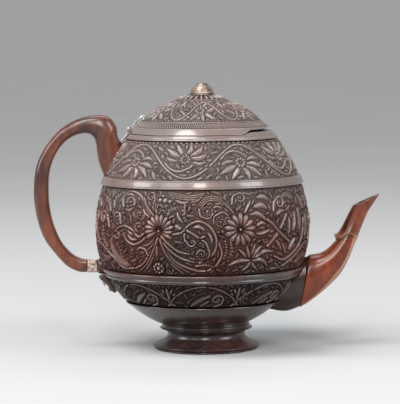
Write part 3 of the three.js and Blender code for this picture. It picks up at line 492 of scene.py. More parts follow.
    def sample(self, grid, x, y):
        column = x / PIXEL
        row = np.clip(y / PIXEL, 0, self.rows - 1.001)
        c0, r0 = np.floor(column).astype(int), np.floor(row).astype(int)
        u, v = column - c0, row - r0
        left, right = c0 % self.columns, (c0 + 1) % self.columns
        low = grid[r0, left] * (1 - u) + grid[r0, right] * u
        high = grid[r0 + 1, left] * (1 - u) + grid[r0 + 1, right] * u
        return low * (1 - v) + high * v


# Drawing of the middle band's front: two big flowers joined by scrolls. The band's back is its mirror image.

def draw_upper_left(c):
    """The upper left scroll and its stems."""
    c.tendril([(-25.5, 29.5), (-30.5, 35.5), (-33.5, 40), (-37, 43.5), (-43.5, 45), (-48.5, 42)],
              (-43, 39.2), 1.1, 0.9, 0.6, fluted(2))
    c.leaf([(-46.5, 42.5), (-43.5, 43.5), (-40, 42)], 0.8)
    c.leaf([(-40, 36.5), (-43, 34.8), (-47, 35.8)], 0.9)
    c.strand([(-24.5, 30.5), (-29, 35), (-32, 38.5), (-33.6, 42)], 0.45, 0.35)
    c.tendril([(-27, 30), (-31.5, 33.5), (-33, 35.5)], (-35.3, 32.5), -1, 0.7, 0.35)
    c.beads([(-33.5, 32.2), (-35.5, 30.6), (-37.3, 32)], 0.5, 1.3)
    c.tendril([(-44.5, 26), (-48, 27), (-49, 29.5)], (-52.3, 30.6), 1.2, 0.7, 0.35)
    c.beads([(-50.6, 29.5), (-52.5, 28.7), (-54.3, 30), (-54.4, 32)], 0.5, 1.3)


def draw_above_flower_one(c):
    """A C scroll with curls and buds, and streaks along the top edge."""
    c.strand([(-26.2, 39), (-25.6, 35.5), (-23, 32.3), (-19.5, 31.2), (-15.5, 32.5)], 0.45, 0.6, fluted(2))
    c.tendril([(-25, 36.8), (-24.6, 38)], (-23.2, 36.2), -1, 0.35, 0.25, bead=0.4)
    c.tendril([(-22.5, 32.6), (-23.2, 33.8)], (-21.4, 34.2), -1, 0.35, 0.25, bead=0.4)
    c.frond([(-19, 32.5), (-17, 35.5), (-13, 37.5)], 5, 2, 0.55)
    for x, y, r in ((-23.5, 40.8, 1.2), (-20.6, 40.6, 1.5), (-17.8, 40.2, 1.1), (-22, 43, 0.9)):
        c.bead(x, y, r)
    c.tendril([(-27.2, 38.5), (-26.8, 41.5), (-27.5, 44.3)], (-29.2, 42.4), 1.25, 0.4, 0.3, bead=0.5)
    for drop, inset in ((0, 0), (1.1, 0.6), (2.2, 1.4), (3.3, 2.4)):
        c.strand([(-19.5 + inset, 45.4 - drop), (-12, 43.8 - drop), (-5, 43.4 - drop),
                  (1 - inset, 44.6 - drop)], 0.3, 0.4)
    c.leaf([(-15, 41), (-10.5, 39.5), (-6.5, 40.5)], 1)
    c.frond([(-9.2, 38.5), (-9.6, 35), (-8.4, 29.5)], 5, 2.2, 0.6, (-1,))
    c.leaf([(-13.5, 35), (-12.5, 31.5), (-9.5, 28.5)], 0.9, smooth_leaf)
    c.leaf([(-14.2, 27.6), (-12.6, 26.4), (-10.8, 25.8)], 1.6, smooth_leaf)


def draw_left_scrolls(c):
    """C and S scrolls at the left, with a fluted leaf that sweeps up below them."""
    c.tendril([(-31, 24), (-35.5, 21), (-39.5, 24.3), (-44.5, 26.3), (-50, 25.3), (-54, 21.5)], (-51, 21.6),
               0.9, 0.75, 0.4, fluted(2))
    c.strand([(-31, 21), (-34.5, 18.2), (-39.5, 16.8), (-44.3, 19), (-46, 22.8)], 0.8, 0.5, fluted(2))
    c.leaf([(-36.5, 19.5), (-40.5, 19.6), (-43, 22.6)], 1)
    c.leaf([(-39, 21.6), (-41.5, 23), (-43.5, 24.4)], 0.6)
    c.leaf([(-40.5, 3.2), (-49, 5), (-54.8, 10.5), (-57, 17), (-53.5, 22)], 2.6, fluted(4))
    c.frond([(-44.5, 5), (-49, 9), (-51, 15)], 6, 2.2, 0.6, (-1,))


def draw_flower_one(c):
    """The left flower and the fan of strands below it."""
    c.strand([(-24, 20.5), (-27, 15.5), (-33.5, 7), (-41.5, 2.8)], 0.9, 0.5, fluted(2))
    c.strand([(-24.5, 21.5), (-29, 17.5), (-33.5, 16)], 0.8, 0.4, fluted(1))
    c.strand([(-24.2, 20.8), (-28.2, 15.9), (-31.6, 13.4)], 0.7, 0.4, fluted(1))
    c.tendril([(-30, 11), (-32, 14.5), (-34.8, 15.3)], (-34.6, 12.3), 1, 0.6, 0.3)
    c.beads([(-36.6, 12.5), (-35, 10.3), (-32.6, 11)], 0.45, 1.2)
    c.strand([(-24, 20.5), (-26, 14), (-29.5, 7), (-34, 2)], 0.8, 0.5, fluted(2))
    c.strand([(-23, 20.5), (-21.5, 14), (-17, 7), (-11, 1.4)], 0.8, 0.5, fluted(2))
    c.strand([(-22.6, 20.5), (-19.5, 13.5), (-13.5, 7.3), (-3.5, 3.2), (2.5, 3)], 0.9, 0.6, fluted(2))
    c.strand([(-22.2, 21), (-18.6, 15.5), (-12.5, 10.6), (-5, 8)], 0.8, 0.5, fluted(2))
    c.strand([(-21.8, 21.6), (-18, 17.6), (-12.8, 13.8), (-6.5, 12.2)], 0.8, 0.4, fluted(2))
    c.strand([(-22.9, 20.4), (-20.4, 13.4), (-15.4, 7), (-7.5, 2)], 0.7, 0.4, fluted(2))
    c.strand([(-24.1, 20.4), (-26.6, 14.6), (-31.6, 6.6), (-38, 1.8)], 0.7, 0.4, fluted(2))
    c.leaf([(-24.6, 16.5), (-24.9, 13.5), (-25, 10)], 0.8)
    c.rosette(-25, 4, 3.6, 9)
    c.petals(-23.5, 24.8, 1.3, 7.6, 12, 1.15, -30, 240)
    c.bead(-23.5, 24.4, 0.6)


def draw_left_end(c):
    """Leaves and tendrils at the left end."""
    c.strand([(-41.5, 3.4), (-50, 3.2), (-58, 9.2), (-68, 14.5), (-76, 16)], 0.5, 0.5)
    c.frond([(-60, 9), (-66.5, 7), (-73.5, 9)], 6, 2.6, 0.7)
    c.frond([(-61.5, 14), (-66, 19), (-66.5, 25)], 6, 2.8, 0.8)
    c.tendril([(-58.5, 25), (-61, 30.5), (-65.5, 33)], (-66.5, 29.5), 1.2, 0.7, 0.35)
    c.frond([(-58.5, 33.5), (-62, 38), (-69, 40.5)], 6, 2.6, 0.7)
    c.frond([(-55.5, 35.5), (-55.8, 40), (-52, 43.5)], 5, 2, 0.6)
    c.tendril([(-71, 17), (-76.5, 21), (-80, 27)], (-76.5, 29.5), -1.2, 0.7, 0.35)
    c.leaf([(-72, 35), (-77, 38.5), (-83, 38)], 1.7)
    c.frond([(-78, 3.5), (-83.5, 8), (-85, 15)], 6, 2.6, 0.7)


def draw_big_scroll(c):
    """The stem from flower one to the big scroll, with its spirals."""
    c.strand([(-15.5, 22.8), (-10.8, 24), (-7.5, 27.5), (-3, 29.8), (1.5, 28.6), (5.2, 25), (7.2, 19.5),
              (6.2, 13.8), (2.2, 9.6), (-1.8, 7.6)], 0.7, 0.7, fluted(2))
    c.tendril([(-8, 25), (-3, 21.8), (1.5, 18.4), (3.4, 14)], (-0.6, 12.4), -1.25, 0.8, 0.4, fluted(2))
    c.beads([(2.2, 12.6), (1, 9.8), (-2, 9.6), (-3.4, 11.6)], 0.5, 1.3)
    c.tendril([(-9.5, 23.2), (-9.3, 20), (-8, 18.6)], (-5.6, 18.6), 1.2, 0.6, 0.3)
    c.beads([(-8, 16.2), (-5.6, 15.2), (-3.4, 16.4)], 0.45, 1.2)
    c.leaf([(-5.2, 26.6), (-1.5, 26.8), (1.8, 24.6)], 1.2, smooth_leaf)
    c.leaf([(2.6, 24), (4.6, 20.6), (4.4, 17.4)], 0.9)
    c.leaf([(-1.5, 20.5), (0.6, 21.8), (2.2, 21)], 0.7)


def draw_beaded_spirals(c):
    """Beaded spirals below the arch that runs to flower two."""
    for gap in (0, 1, 2):
        c.strand([(-2.8 + gap * 0.8, 35), (-0.6 + gap * 0.5, 40.2 - gap), (4, 42.8 - gap), (10, 41.8 - gap),
                  (15.2 - gap * 0.3, 37.8 - gap * 0.8), (18.2 - gap * 0.5, 32.6), (20.6 - gap * 0.6, 26.6)],
                 0.32, 0.42)
    c.tendril([(-1.8, 36.2), (-1, 32.6), (2.4, 31.2)], (2.6, 35), 1.1, 0.5, 0.3, bead=0.7)
    c.ring_of_beads(2.6, 35, 2.4, 0.48, range(60, 332, 34))
    c.leaf([(5.5, 36.4), (8, 37.6), (11, 36)], 0.7)
    c.leaf([(6.5, 38.6), (9.5, 39), (12, 37.8)], 0.5)
    c.tendril([(14.5, 31.6), (11, 34.4), (6.5, 32.6)], (9.5, 29.4), 0.85, 0.5, 0.3, bead=0.6)
    c.ring_of_beads(9.5, 29.4, 2.5, 0.5, range(110, 302, 32))
    for rise in (0, 1.15, 2.3, 3.45):
        c.strand([(11 + rise * 0.35, 28.2 + rise), (14.5, 28.4 + rise * 0.8), (17.6, 26.2 + rise * 0.35)],
                 0.35, 0.45)


def draw_flower_two(c):
    """The right flower, the leaves above it and the crossing vines beside it."""
    c.petals(20.2, 25, 1.3, 7.6, 13, 1.38, 5)
    c.bead(20.2, 25, 0.7)
    c.leaf([(22.4, 33), (25, 37), (27.6, 41)], 0.9, smooth_leaf)
    c.leaf([(25.5, 32.6), (30, 33.2), (34, 31), (36.5, 27.6)], 1.5, smooth_leaf)
    c.leaf([(28.5, 36.5), (33.5, 37.5), (37.5, 35)], 1.9, smooth_leaf)
    c.leaf([(31, 41.5), (35.5, 42), (39, 39.5)], 1.6, smooth_leaf)
    c.tendril([(16, 38.5), (17, 42.8), (21, 44.4)], (21.2, 41.6), -1.2, 0.55, 0.3)
    c.frond([(23, 44.5), (26.5, 43.8), (30, 44.5)], 4, 1.5, 0.5)
    c.tendril([(41, 34), (42.5, 38.5), (46.5, 41.5)], (46.5, 38), -1.2, 0.7, 0.35)
    c.frond([(49, 41), (54, 42), (60, 40)], 6, 2.2, 0.6)
    c.leaf([(43, 31.5), (46, 33.5), (50.5, 33.5)], 1.4)
    c.strand([(50.5, 31.5), (47.5, 27.5), (44, 23), (36.3, 15.5)], 0.8, 0.9, fluted(2))
    c.strand([(36.5, 29.5), (40, 27), (44, 23), (53, 16.5)], 0.9, 0.9, fluted(2))
    c.leaf([(29, 22.6), (33, 22.6), (38.5, 24.5)], 1.3)
    c.leaf([(29.5, 26.5), (32.5, 28.2), (35.5, 27)], 1.2, smooth_leaf)


def draw_pointed_leaves(c):
    """Pointed leaves from one root, and the beads and leaves beside them."""
    for tip, half in (((18.6, 15), 1.2), ((23.4, 16.8), 1.3), ((28.6, 17.6), 1.1), ((33.4, 17.2), 1.2)):
        bend = ((27 + tip[0]) / 2 - 0.5, (8.6 + tip[1]) / 2)
        c.leaf([(27, 8.6), bend, tip], half)
    c.leaf([(27.4, 8.4), (34.5, 12.6), (41.8, 12.2)], 1.4)
    c.leaf([(26.4, 8.2), (19.5, 8), (12.5, 5.4)], 1.3)
    c.leaf([(27, 7.8), (33.5, 8), (38.6, 3.6)], 1.3)
    c.leaf([(26.4, 7.4), (24.5, 4.4), (21, 2)], 1.1)
    c.leaf([(27.2, 7.2), (29.4, 4.2), (32.4, 2.2)], 1)
    c.strand([(8.5, 18), (10, 12), (7, 6), (2.5, 3)], 0.5, 0.5)
    c.beads([(11.8, 19), (12.4, 14), (11, 9.6)], 0.55, 1.5)
    c.frond([(14.5, 18.5), (15.5, 14), (14, 9.5)], 5, 1.8, 0.5)
    c.frond([(-4, 5.8), (1.5, 6.2), (6.5, 5)], 4, 1.3, 0.45)


def draw_right_end(c):
    """The right hand vine with its oval leaf and serrated leaves."""
    c.strand([(42, 9.4), (49, 7.2), (57, 10.2), (63.5, 15), (66.5, 21.5), (68.5, 28.5)], 0.55, 0.45)
    c.strand([(40.5, 2.4), (50, 3.6), (60, 8.6), (68, 13.5), (75, 15)], 0.6, 0.5, fluted(2))
    c.leaf([(52.5, 12.2), (55.4, 15), (57.8, 19)], 2.1, smooth_leaf)
    c.leaf([(46.5, 16.5), (49, 13), (51, 9.5)], 1)
    c.leaf([(42, 18.5), (44.5, 15.5), (46, 12)], 1.1)
    c.leaf([(55.5, 22), (58, 27), (57.5, 33)], 2, veined, 5)
    c.leaf([(62, 22), (63.5, 28), (62, 35)], 2, veined, 6)
    c.leaf([(51.5, 20.5), (52.5, 25), (53, 30.5)], 1.3, veined, 4)
    c.leaf([(70, 18), (72.5, 24), (72, 31)], 2.1, veined, 6)
    c.leaf([(69.5, 33), (68.5, 38), (64.5, 42)], 1.6, veined, 5)
    c.frond([(75, 34), (79, 38.5), (84, 40.5)], 6, 2.4, 0.7)
    c.tendril([(77, 16), (80, 21), (79, 27)], (83.5, 26), -1.2, 0.7, 0.35)
    c.frond([(62, 4.5), (70, 7.5), (78, 7), (85, 9)], 8, 2.4, 0.6)
    c.frond([(43, 5.6), (50, 1.4), (57, 3.6)], 5, 1.5, 0.5)


# Sizes of the flat drawings: millimetres per radian round the pot, and heights
MAIN_SCALE = 58.0
MAIN_HEIGHT = 46.2
BAND_SCALE = 48.0
SHOULDER_WAVES = 5
SHOULDER_CREST = -38.5
SHOULDER_HEIGHT = 23.3
LOWER_ARCHES = 8
LOWER_HEIGHT = 17.5
STEPS_A_WAVE = 24

# Zones of the lid, as lengths along its surface from the apex
LID_CENTRE = 48.0
LID_PETALS = (6.2, 13.6)
LID_FOLIAGE = (14.6, 36.9)
LID_HATCH = (37.6, 40.9)
LID_PLAIN = 41.5
LID_LOBES = 6

# Seeds of the small forms
MAIN_SEED, LOWER_SEED, SHOULDER_SEED, LID_SEED = 5, 23, 11, 37


def draw_main():
    c = Carving(2 * math.pi * MAIN_SCALE, MAIN_HEIGHT)
    parts = (draw_upper_left, draw_above_flower_one, draw_left_scrolls, draw_flower_one, draw_left_end,
             draw_big_scroll, draw_beaded_spirals, draw_flower_two, draw_pointed_leaves, draw_right_end)
    for draw_part in parts:
        draw_part(c)
    return c.complete(MAIN_SEED)


def draw_shoulder_lobe(c, x, hanging):
    """The flower and the cut leaves in one bend of the shoulder's vine."""
    def at(u, v):
        return (x + u, SHOULDER_HEIGHT - v) if hanging else (x + u, v)

    centre = (-0.8, 10.6)
    c.tendril([at(-11.5, 13), at(-8.5, 16), at(-3.5, 17.6), at(1.5, 15.8)], at(*centre),
              1.1 if hanging else -1.1, 0.8, 0.5, fluted(2), bead=None)
    tips = (((11.6, 7.4), 1.8), ((9.6, 1.6), 1.7), ((2.2, 0.2), 1.6), ((-7.2, 0.8), 1.7), ((-13.4, 3.6), 1.8))
    for tip, half in tips:
        run, rise = tip[0] - centre[0], tip[1] - centre[1]
        reach = math.hypot(run, rise)
        near = (centre[0] + 3.4 * run / reach, centre[1] + 3.4 * rise / reach)
        bend = ((near[0] + tip[0]) / 2 + 0.9, (near[1] + tip[1]) / 2 + 0.7)
        c.leaf([at(*near), at(*bend), at(*tip)], half, veined, 5)
    c.leaf([at(3.4, 12), at(7, 13.2), at(10.8, 12)], 1.2, veined, 4)
    c.leaf([at(-5, 11.4), at(-8.6, 11), at(-12.2, 9)], 1.2, veined, 4)
    c.flower(*at(*centre), 3.1, 9)


def draw_shoulder():
    """The band below the rim: a vine in waves, with a flower and cut leaves in each bend."""
    c = Carving(2 * math.pi * BAND_SCALE, SHOULDER_HEIGHT)
    wave = c.length / SHOULDER_WAVES
    for index in range(SHOULDER_WAVES):
        draw_shoulder_lobe(c, SHOULDER_CREST + index * wave, False)
        draw_shoulder_lobe(c, SHOULDER_CREST + (index + 0.5) * wave, True)
    steps = STEPS_A_WAVE * SHOULDER_WAVES
    places = [c.length * step / steps for step in range(steps + 2)]
    c.strand([(x, 11.7 + 9.8 * math.cos(2 * math.pi * (x - SHOULDER_CREST) * SHOULDER_WAVES / c.length))
              for x in places], 0.62, 0.62, fluted(2))
    for index in range(round(c.length / 3.2)):
        c.strand([(3.2 * index, 22.75), (3.2 * index + 1.9, 22.75)], 0.3, 0.3)
    return c.complete(SHOULDER_SEED)


def draw_lower():
    """The band below the mouldings: arches of a thin stem, with beaded leaves and curls."""
    c = Carving(2 * math.pi * BAND_SCALE, LOWER_HEIGHT)
    pitch = c.length / LOWER_ARCHES
    for index in range(LOWER_ARCHES):
        x = index * pitch
        foot = x + pitch / 2
        c.leaf([(x - 7.5, 1.6), (x - 2, 6), (x + 5.6, 10.8)], 1.9, veined, 6)
        c.beads([(x - 9, 4.4), (x - 4.4, 8.8), (x + 1.4, 12.4)], 0.48, 1.35)
        c.tendril([(x + 6, 1.4), (x + 10.2, 3.4), (x + 11.2, 7.4)], (x + 7.6, 6.6), 1.15, 0.65, 0.35)
        c.leaf([(x - 2, 1.6), (x + 1.5, 4.4), (x + 3.8, 6.4)], 1.1)
        c.fan(foot, 5.6, QUARTER, 10.5, 1.15, 5, 0.36, veined)
        c.leaf([(foot - 3, 1), (foot, 3), (foot + 3, 1)], 1)
    steps = STEPS_A_WAVE * LOWER_ARCHES
    c.strand([(c.length * step / steps, 4.2 + 11.4 * abs(math.cos(math.pi * step / STEPS_A_WAVE)) ** 0.8)
              for step in range(steps + 2)], 0.42, 0.42)
    return c.complete(LOWER_SEED)


def on_lid(turn, reach):
    """Place on the lid's flat drawing for a turn in degrees from the front and a reach from the apex."""
    angle = math.radians(turn)
    return LID_CENTRE + reach * math.sin(angle), LID_CENTRE - reach * math.cos(angle)


def draw_lid_lobe(c, turn):
    """The flower and the cut leaves below one arch of the lid's vine, and the fan between it and the next."""
    def track(*places):
        return [on_lid(turn + away, reach) for away, reach in places]

    centre = on_lid(turn - 2, 27.2)
    c.tendril(track((-26, 27.5), (-14, 32.6), (-1, 33.4)), centre, 1.15, 0.85, 0.5, fluted(2), bead=None)
    for lean, tip, half in ((15, 34.2, 1.6), (-12, 35.4, 1.5), (2, 36.2, 1.4)):
        c.leaf(track((0.3 * lean, 29.6), (0.7 * lean, 32.4), (lean, tip)), half, veined, 4)
    for places in (((-5, 23.8), (-8, 20.8), (-16, 18.6)), ((3, 23.6), (7, 20.2), (17, 18.2)),
                   ((7, 27.4), (12, 26.6), (18, 24.4))):
        c.leaf(track(*places), 1.5, veined, 4)
    c.flower(*centre, 3, 9)
    c.fan(*on_lid(turn + 30, 17.2), math.radians(turn + 30 - 90), 8.5, 1.2, 5, 0.4, veined)


def draw_lid():
    """The lid seen flat from above: petals, a vine in arches, a hatched border and a plain rim."""
    c = Carving(2 * LID_CENTRE, 2 * LID_CENTRE)
    across = (np.arange(c.columns) * PIXEL - LID_CENTRE)[None, :]
    upward = (np.arange(c.rows) * PIXEL - LID_CENTRE)[:, None]
    reach = np.hypot(across, upward)
    c.petals(LID_CENTRE, LID_CENTRE, *LID_PETALS, 24, 0.72)
    c.ring(LID_CENTRE, LID_CENTRE, LID_FOLIAGE[0] - 0.2, 0.3)
    for index in range(LID_LOBES):
        draw_lid_lobe(c, 360.0 / LID_LOBES * index)
    c.strand([on_lid(turn, 26.2 + 8.6 * math.cos(math.radians(LID_LOBES * (turn - 34))))
              for turn in range(0, 366, 5)], 0.5, 0.5, fluted(2))
    c.ring(LID_CENTRE, LID_CENTRE, LID_FOLIAGE[1], 0.35)
    strokes = round(2 * math.pi * 39.2 / 1.35)
    for index in range(strokes):
        turn = 360.0 * index / strokes
        c.lay(curve([on_lid(turn, LID_HATCH[0]), on_lid(turn + 2.6, LID_HATCH[1])]), 0.3, crowned, gap=0.25)
    c.level[reach > LID_PLAIN] = 1.0
    c.level[reach < LID_PETALS[0] - 0.3] = 0.9
    # the small forms and the bed are kept to the foliage
    outside = (reach > LID_FOLIAGE[1] - 0.6) | (reach < LID_FOLIAGE[0] - 0.2)
    kept = c.level[outside]
    c.level[outside] = 1.0
    c.fill(LID_SEED)
    c.raise_bed()
    c.level[outside] = kept
    c.soften()
    return c


# Meshes

def build_mesh(name, points, smooth_faces, flat_faces):
    """A mesh from points in mm and arrays of triangles or quads, some shaded smooth and some flat."""
    mesh = bpy.data.meshes.new(name)
    points = np.asarray(points, float).reshape(-1, 3) * MM
    every = [np.asarray(faces, np.int32) for faces in (*smooth_faces, *flat_faces)]
    sizes = np.concatenate([np.full(len(faces), faces.shape[1]) for faces in every])
    corners = np.concatenate([faces.ravel() for faces in every])
    starts = np.concatenate(([0], np.cumsum(sizes)[:-1])).astype(np.int32)
    smooth = np.concatenate([np.full(len(faces), index < len(smooth_faces))
                             for index, faces in enumerate(every)])
    mesh.vertices.add(len(points))
    mesh.vertices.foreach_set("co", points.ravel())
    mesh.loops.add(len(corners))
    mesh.loops.foreach_set("vertex_index", corners)
    mesh.polygons.add(len(sizes))
    mesh.polygons.foreach_set("loop_start", starts)
    mesh.polygons.foreach_set("use_smooth", smooth)
    mesh.update(calc_edges=True)
    mesh.validate()
    return mesh


def outward(mesh):
    """The mesh with all its faces turned outwards."""
    form = bmesh.new()
    form.from_mesh(mesh)
    bmesh.ops.recalc_face_normals(form, faces=form.faces)
    form.to_mesh(mesh)
    form.free()
    return mesh


def joined(name, meshes):
    """One mesh from several closed ones."""
    form = bmesh.new()
    for mesh in meshes:
        form.from_mesh(mesh)
        bpy.data.meshes.remove(mesh)
    merged = bpy.data.meshes.new(name)
    form.to_mesh(merged)
    form.free()
    return merged


def store(mesh, name, values):
    """Keeps one value per vertex for the materials."""
    kept = mesh.attributes.new(name, "FLOAT", "POINT")
    kept.data.foreach_set("value", np.asarray(values, np.float32).ravel())


def wrapped(numbers):
    """Rows of vertex numbers with the first column once more at the end."""
    return np.hstack((numbers, numbers[:, :1]))


def strips(numbers):
    """Quads between each row of vertex numbers and the next."""
    return [np.stack((low[:-1], low[1:], high[1:], high[:-1]), -1) for low, high in zip(numbers, numbers[1:])]


def zipped(first, second):
    """Triangles between two rows of vertices of different lengths."""
    faces = []
    at = 0
    for index in range(len(first) - 1):
        target = round((index + 1) * (len(second) - 1) / (len(first) - 1))
        faces.append((first[index], first[index + 1], second[at]))
        while at < target:
            faces.append((first[index + 1], second[at + 1], second[at]))
            at += 1
    return np.array(faces)


def wall_mesh(name, outer, inner, level=None, wear_and_highlight=None, closed=True):
    """A wall between an outer and an inner grid of points: rows run up the pot, columns round it."""
    rows, columns = outer.shape[:2]
    inner_rows = inner.shape[0]
    points = np.concatenate((outer.reshape(-1, 3), inner[::-1].reshape(-1, 3)))
    numbers = np.arange(len(points)).reshape(-1, columns)
    if closed:
        numbers = wrapped(numbers)
    faces = strips(np.vstack((numbers, numbers[:1])))
    flat = [faces[rows - 1], faces[-1]]
    smooth = faces[:rows - 1] + faces[rows:-1]
    if not closed:
        for column, turned in ((0, False), (columns - 1, True)):
            cap = zipped(numbers[:rows, column], numbers[rows:, column][::-1])
            flat.append(cap[:, ::-1] if turned else cap)
    mesh = build_mesh(name, points, smooth, flat)
    # the second layer marks crests that are rubbed by use and get painted highlights
    for label, values, plain, inside in (("level", level, 0.85, 0.3), ("wear_and_highlight", wear_and_highlight, 0.0, 0.0)):
        values = np.full(rows * columns, plain) if values is None else values.ravel()
        store(mesh, label, np.concatenate((values, np.full(inner_rows * columns, inside))))
    return mesh


def add_piece(mesh, body, material, slot, *nodes):
    piece = bpy.data.objects.new(mesh.name, mesh)
    bpy.context.scene.collection.objects.link(piece)
    mesh.materials.clear()
    mesh.materials.append(material)
    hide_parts(*nodes)
    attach(piece, body)


# Shell and lid

def turns_between(start, end, step, closed=True):
    count = round(EGG_RADIUS * (end - start) / step)
    return np.linspace(start, end, count, endpoint=not closed)


def heights_between(low, high, step):
    return np.linspace(low, high, round((high - low) / step) + 1)


def carved_wall(name, drawing, bottom, top, turns, scale, step, closed=True, mirror=False):
    """Wall of one carved band; scale is the drawing's millimetres per radian."""
    low, high = arc_at(bottom), arc_at(top)
    turn, arc = np.meshgrid(turns, heights_between(low, high, step))
    x = scale * (math.pi - turn if mirror else turn)
    level, wear_and_highlight = drawing.layers(x, (arc - low) * (drawing.height / (high - low)))
    outer = egg_point(turn, height_at(arc), CARVED_DEPTH * (np.minimum(level, 1.0) - 1.0))
    inner_turn, inner_z = np.meshgrid(turns, np.linspace(bottom, top, 7))
    return wall_mesh(name, outer, egg_point(inner_turn, inner_z, 0.0, WALL), level, wear_and_highlight, closed)


def to_rim(turn, z):
    """Stretches rows of heights so that the last one meets the stepped rim."""
    return z + (z - z[0]) / (z[-1] - z[0]) * (body_rim(turn) - z[-1])


def plain_wall(name, heights, inner_heights, lift, turns, at_rim=False):
    """Wall of a plain band; lift gives how far it stands off the egg at a height."""
    turn, z = np.meshgrid(turns, heights)
    proud = lift(z)
    inner_turn, inner_z = np.meshgrid(turns, inner_heights)
    if at_rim:
        z, inner_z = to_rim(turn, z), to_rim(inner_turn, inner_z)
    return wall_mesh(name, egg_point(turn, z, proud), egg_point(inner_turn, inner_z, 0.0, WALL))


def ridge(z, low, high, proud, edge):
    """A band raised between two heights, with rounded edges."""
    inside = np.clip(np.minimum(z - low, high - z) / edge, 0, 1)
    return proud * np.sqrt(1 - (1 - inside) ** 2)


def line(z, at, width):
    """A fine turned line at a height, 1 deep."""
    return np.exp(-((z - at) / width) ** 2)


def moulding_lift(z):
    """Two raised rings, with a fine line in the upper one."""
    return ridge(z, 40.4, 42.0, 0.7, 0.5) + ridge(z, 43.2, 45.0, 0.7, 0.5) - 0.2 * line(z, 44.15, 0.12)


def plain_band_lift(z):
    lift = ridge(z, MAIN_BAND[1], SHOULDER_BAND[0], 0.55, 0.4)
    return lift - 0.22 * line(z, MAIN_BAND[1] + 0.85, 0.13) - 0.22 * line(z, SHOULDER_BAND[0] - 0.8, 0.13)


def rim_lift(z):
    return ridge(z, 114.6, 115.4, 0.3, 0.3) - 0.15 * line(z, 115.7, 0.15)


def bottom_lift(z):
    return ridge(z, FOOT_LINE_Z, LOWER_BAND[0], 0.4, 0.35)


def add_body(shell, rim_wood):
    """The shell's bands; the long middle band is in a front and a back half, which mirrors the front."""
    around = turns_between(0, 2 * math.pi, BAND_STEP)
    coarse = turns_between(0, 2 * math.pi, PLAIN_STEP)
    half = turns_between(-QUARTER, QUARTER, MAIN_STEP, False)
    main, lower, shoulder = draw_main(), draw_lower(), draw_shoulder()

    def plain(name, low, high, lift, step, inner_step):
        return plain_wall(name, heights_between(low, high, step), heights_between(low, high, inner_step),
                          lift, coarse, name == "shell_rim")

    for mesh in (
            carved_wall("shell_carved_front", main, *MAIN_BAND, half, MAIN_SCALE, MAIN_STEP, closed=False),
            carved_wall("shell_carved_back", main, *MAIN_BAND, half + math.pi, MAIN_SCALE, MAIN_STEP,
                        closed=False, mirror=True),
            carved_wall("shell_carved_lower", lower, *LOWER_BAND, around, BAND_SCALE, BAND_STEP),
            carved_wall("shell_carved_shoulder", shoulder, *SHOULDER_BAND, around, BAND_SCALE, BAND_STEP),
            plain("shell_moulding", LOWER_BAND[1], MAIN_BAND[0], moulding_lift, 0.1, 1.5),
            plain("shell_plain_band", MAIN_BAND[1], SHOULDER_BAND[0], plain_band_lift, 0.1, 1.5),
            bottom_mesh(coarse),
            plain("shell_rim", SHOULDER_BAND[1], SEAM_Z, rim_lift, 0.13, 0.9)):
        add_piece(mesh, "pot", rim_wood if mesh.name == "shell_rim" else shell, "shell_wood", "shell_body")


def bottom_mesh(turns):
    """The closed bottom of the shell, pierced for the foot's peg."""
    def lowest(inset):
        reach = PEG_HOLE_RADIUS / (EGG_RADIUS - inset)
        return EGG_EQUATOR_Z - (EGG_DOWN - inset) * math.sqrt(1 - reach ** 2)

    outer_low, inner_low = lowest(0.0), lowest(WALL)
    heights = height_at(np.linspace(arc_at(outer_low), arc_at(LOWER_BAND[0]), 60))
    heights[0] = outer_low
    inner_heights, inner_arcs = meridian(WALL)
    ends = np.interp((inner_low, LOWER_BAND[0]), inner_heights, inner_arcs)
    inner = np.interp(np.linspace(*ends, 24), inner_arcs, inner_heights)
    inner[0] = inner_low
    return plain_wall("shell_bottom", heights, inner, bottom_lift, turns)


def lid_mesh():
    """The carved cap, from its stepped rim up to the hole for the knob's stem."""
    drawing = draw_lid()
    turns = turns_between(0, 2 * math.pi, LID_MESH_STEP)
    rim_arc = arc_at(lid_rim(turns))[None, :]
    arc = rim_arc + (EGG_TOP_ARC - STEM_HOLE_RADIUS - rim_arc) * np.linspace(0, 1, 112)[:, None]
    turn = np.broadcast_to(turns, arc.shape)
    reach = EGG_TOP_ARC - arc
    level, wear_and_highlight = drawing.layers(LID_CENTRE + reach * np.sin(turn), LID_CENTRE - reach * np.cos(turn))
    lower = LID_LOWER * smooth_step((25.0 - reach) / 7.0) * (0.45 + 0.55 * smooth_step((reach - 5.0) / 5.0))
    outer = egg_point(turn, height_at(arc), LID_DEPTH * (np.minimum(level, 1.0) - 1.0) - lower)
    inner_heights, inner_arcs = meridian(WALL)
    inner_rim = np.interp(lid_rim(turns), inner_heights, inner_arcs)[None, :]
    inner_arc = inner_rim + (inner_arcs[-1] - STEM_HOLE_RADIUS - inner_rim) * np.linspace(0, 1, 26)[:, None]
    inner = egg_point(turn[:26], np.interp(inner_arc, inner_arcs, inner_heights), 0.0, WALL)
    return wall_mesh("lid_carved", outer, inner, level, wear_and_highlight)


# Fitted pieces

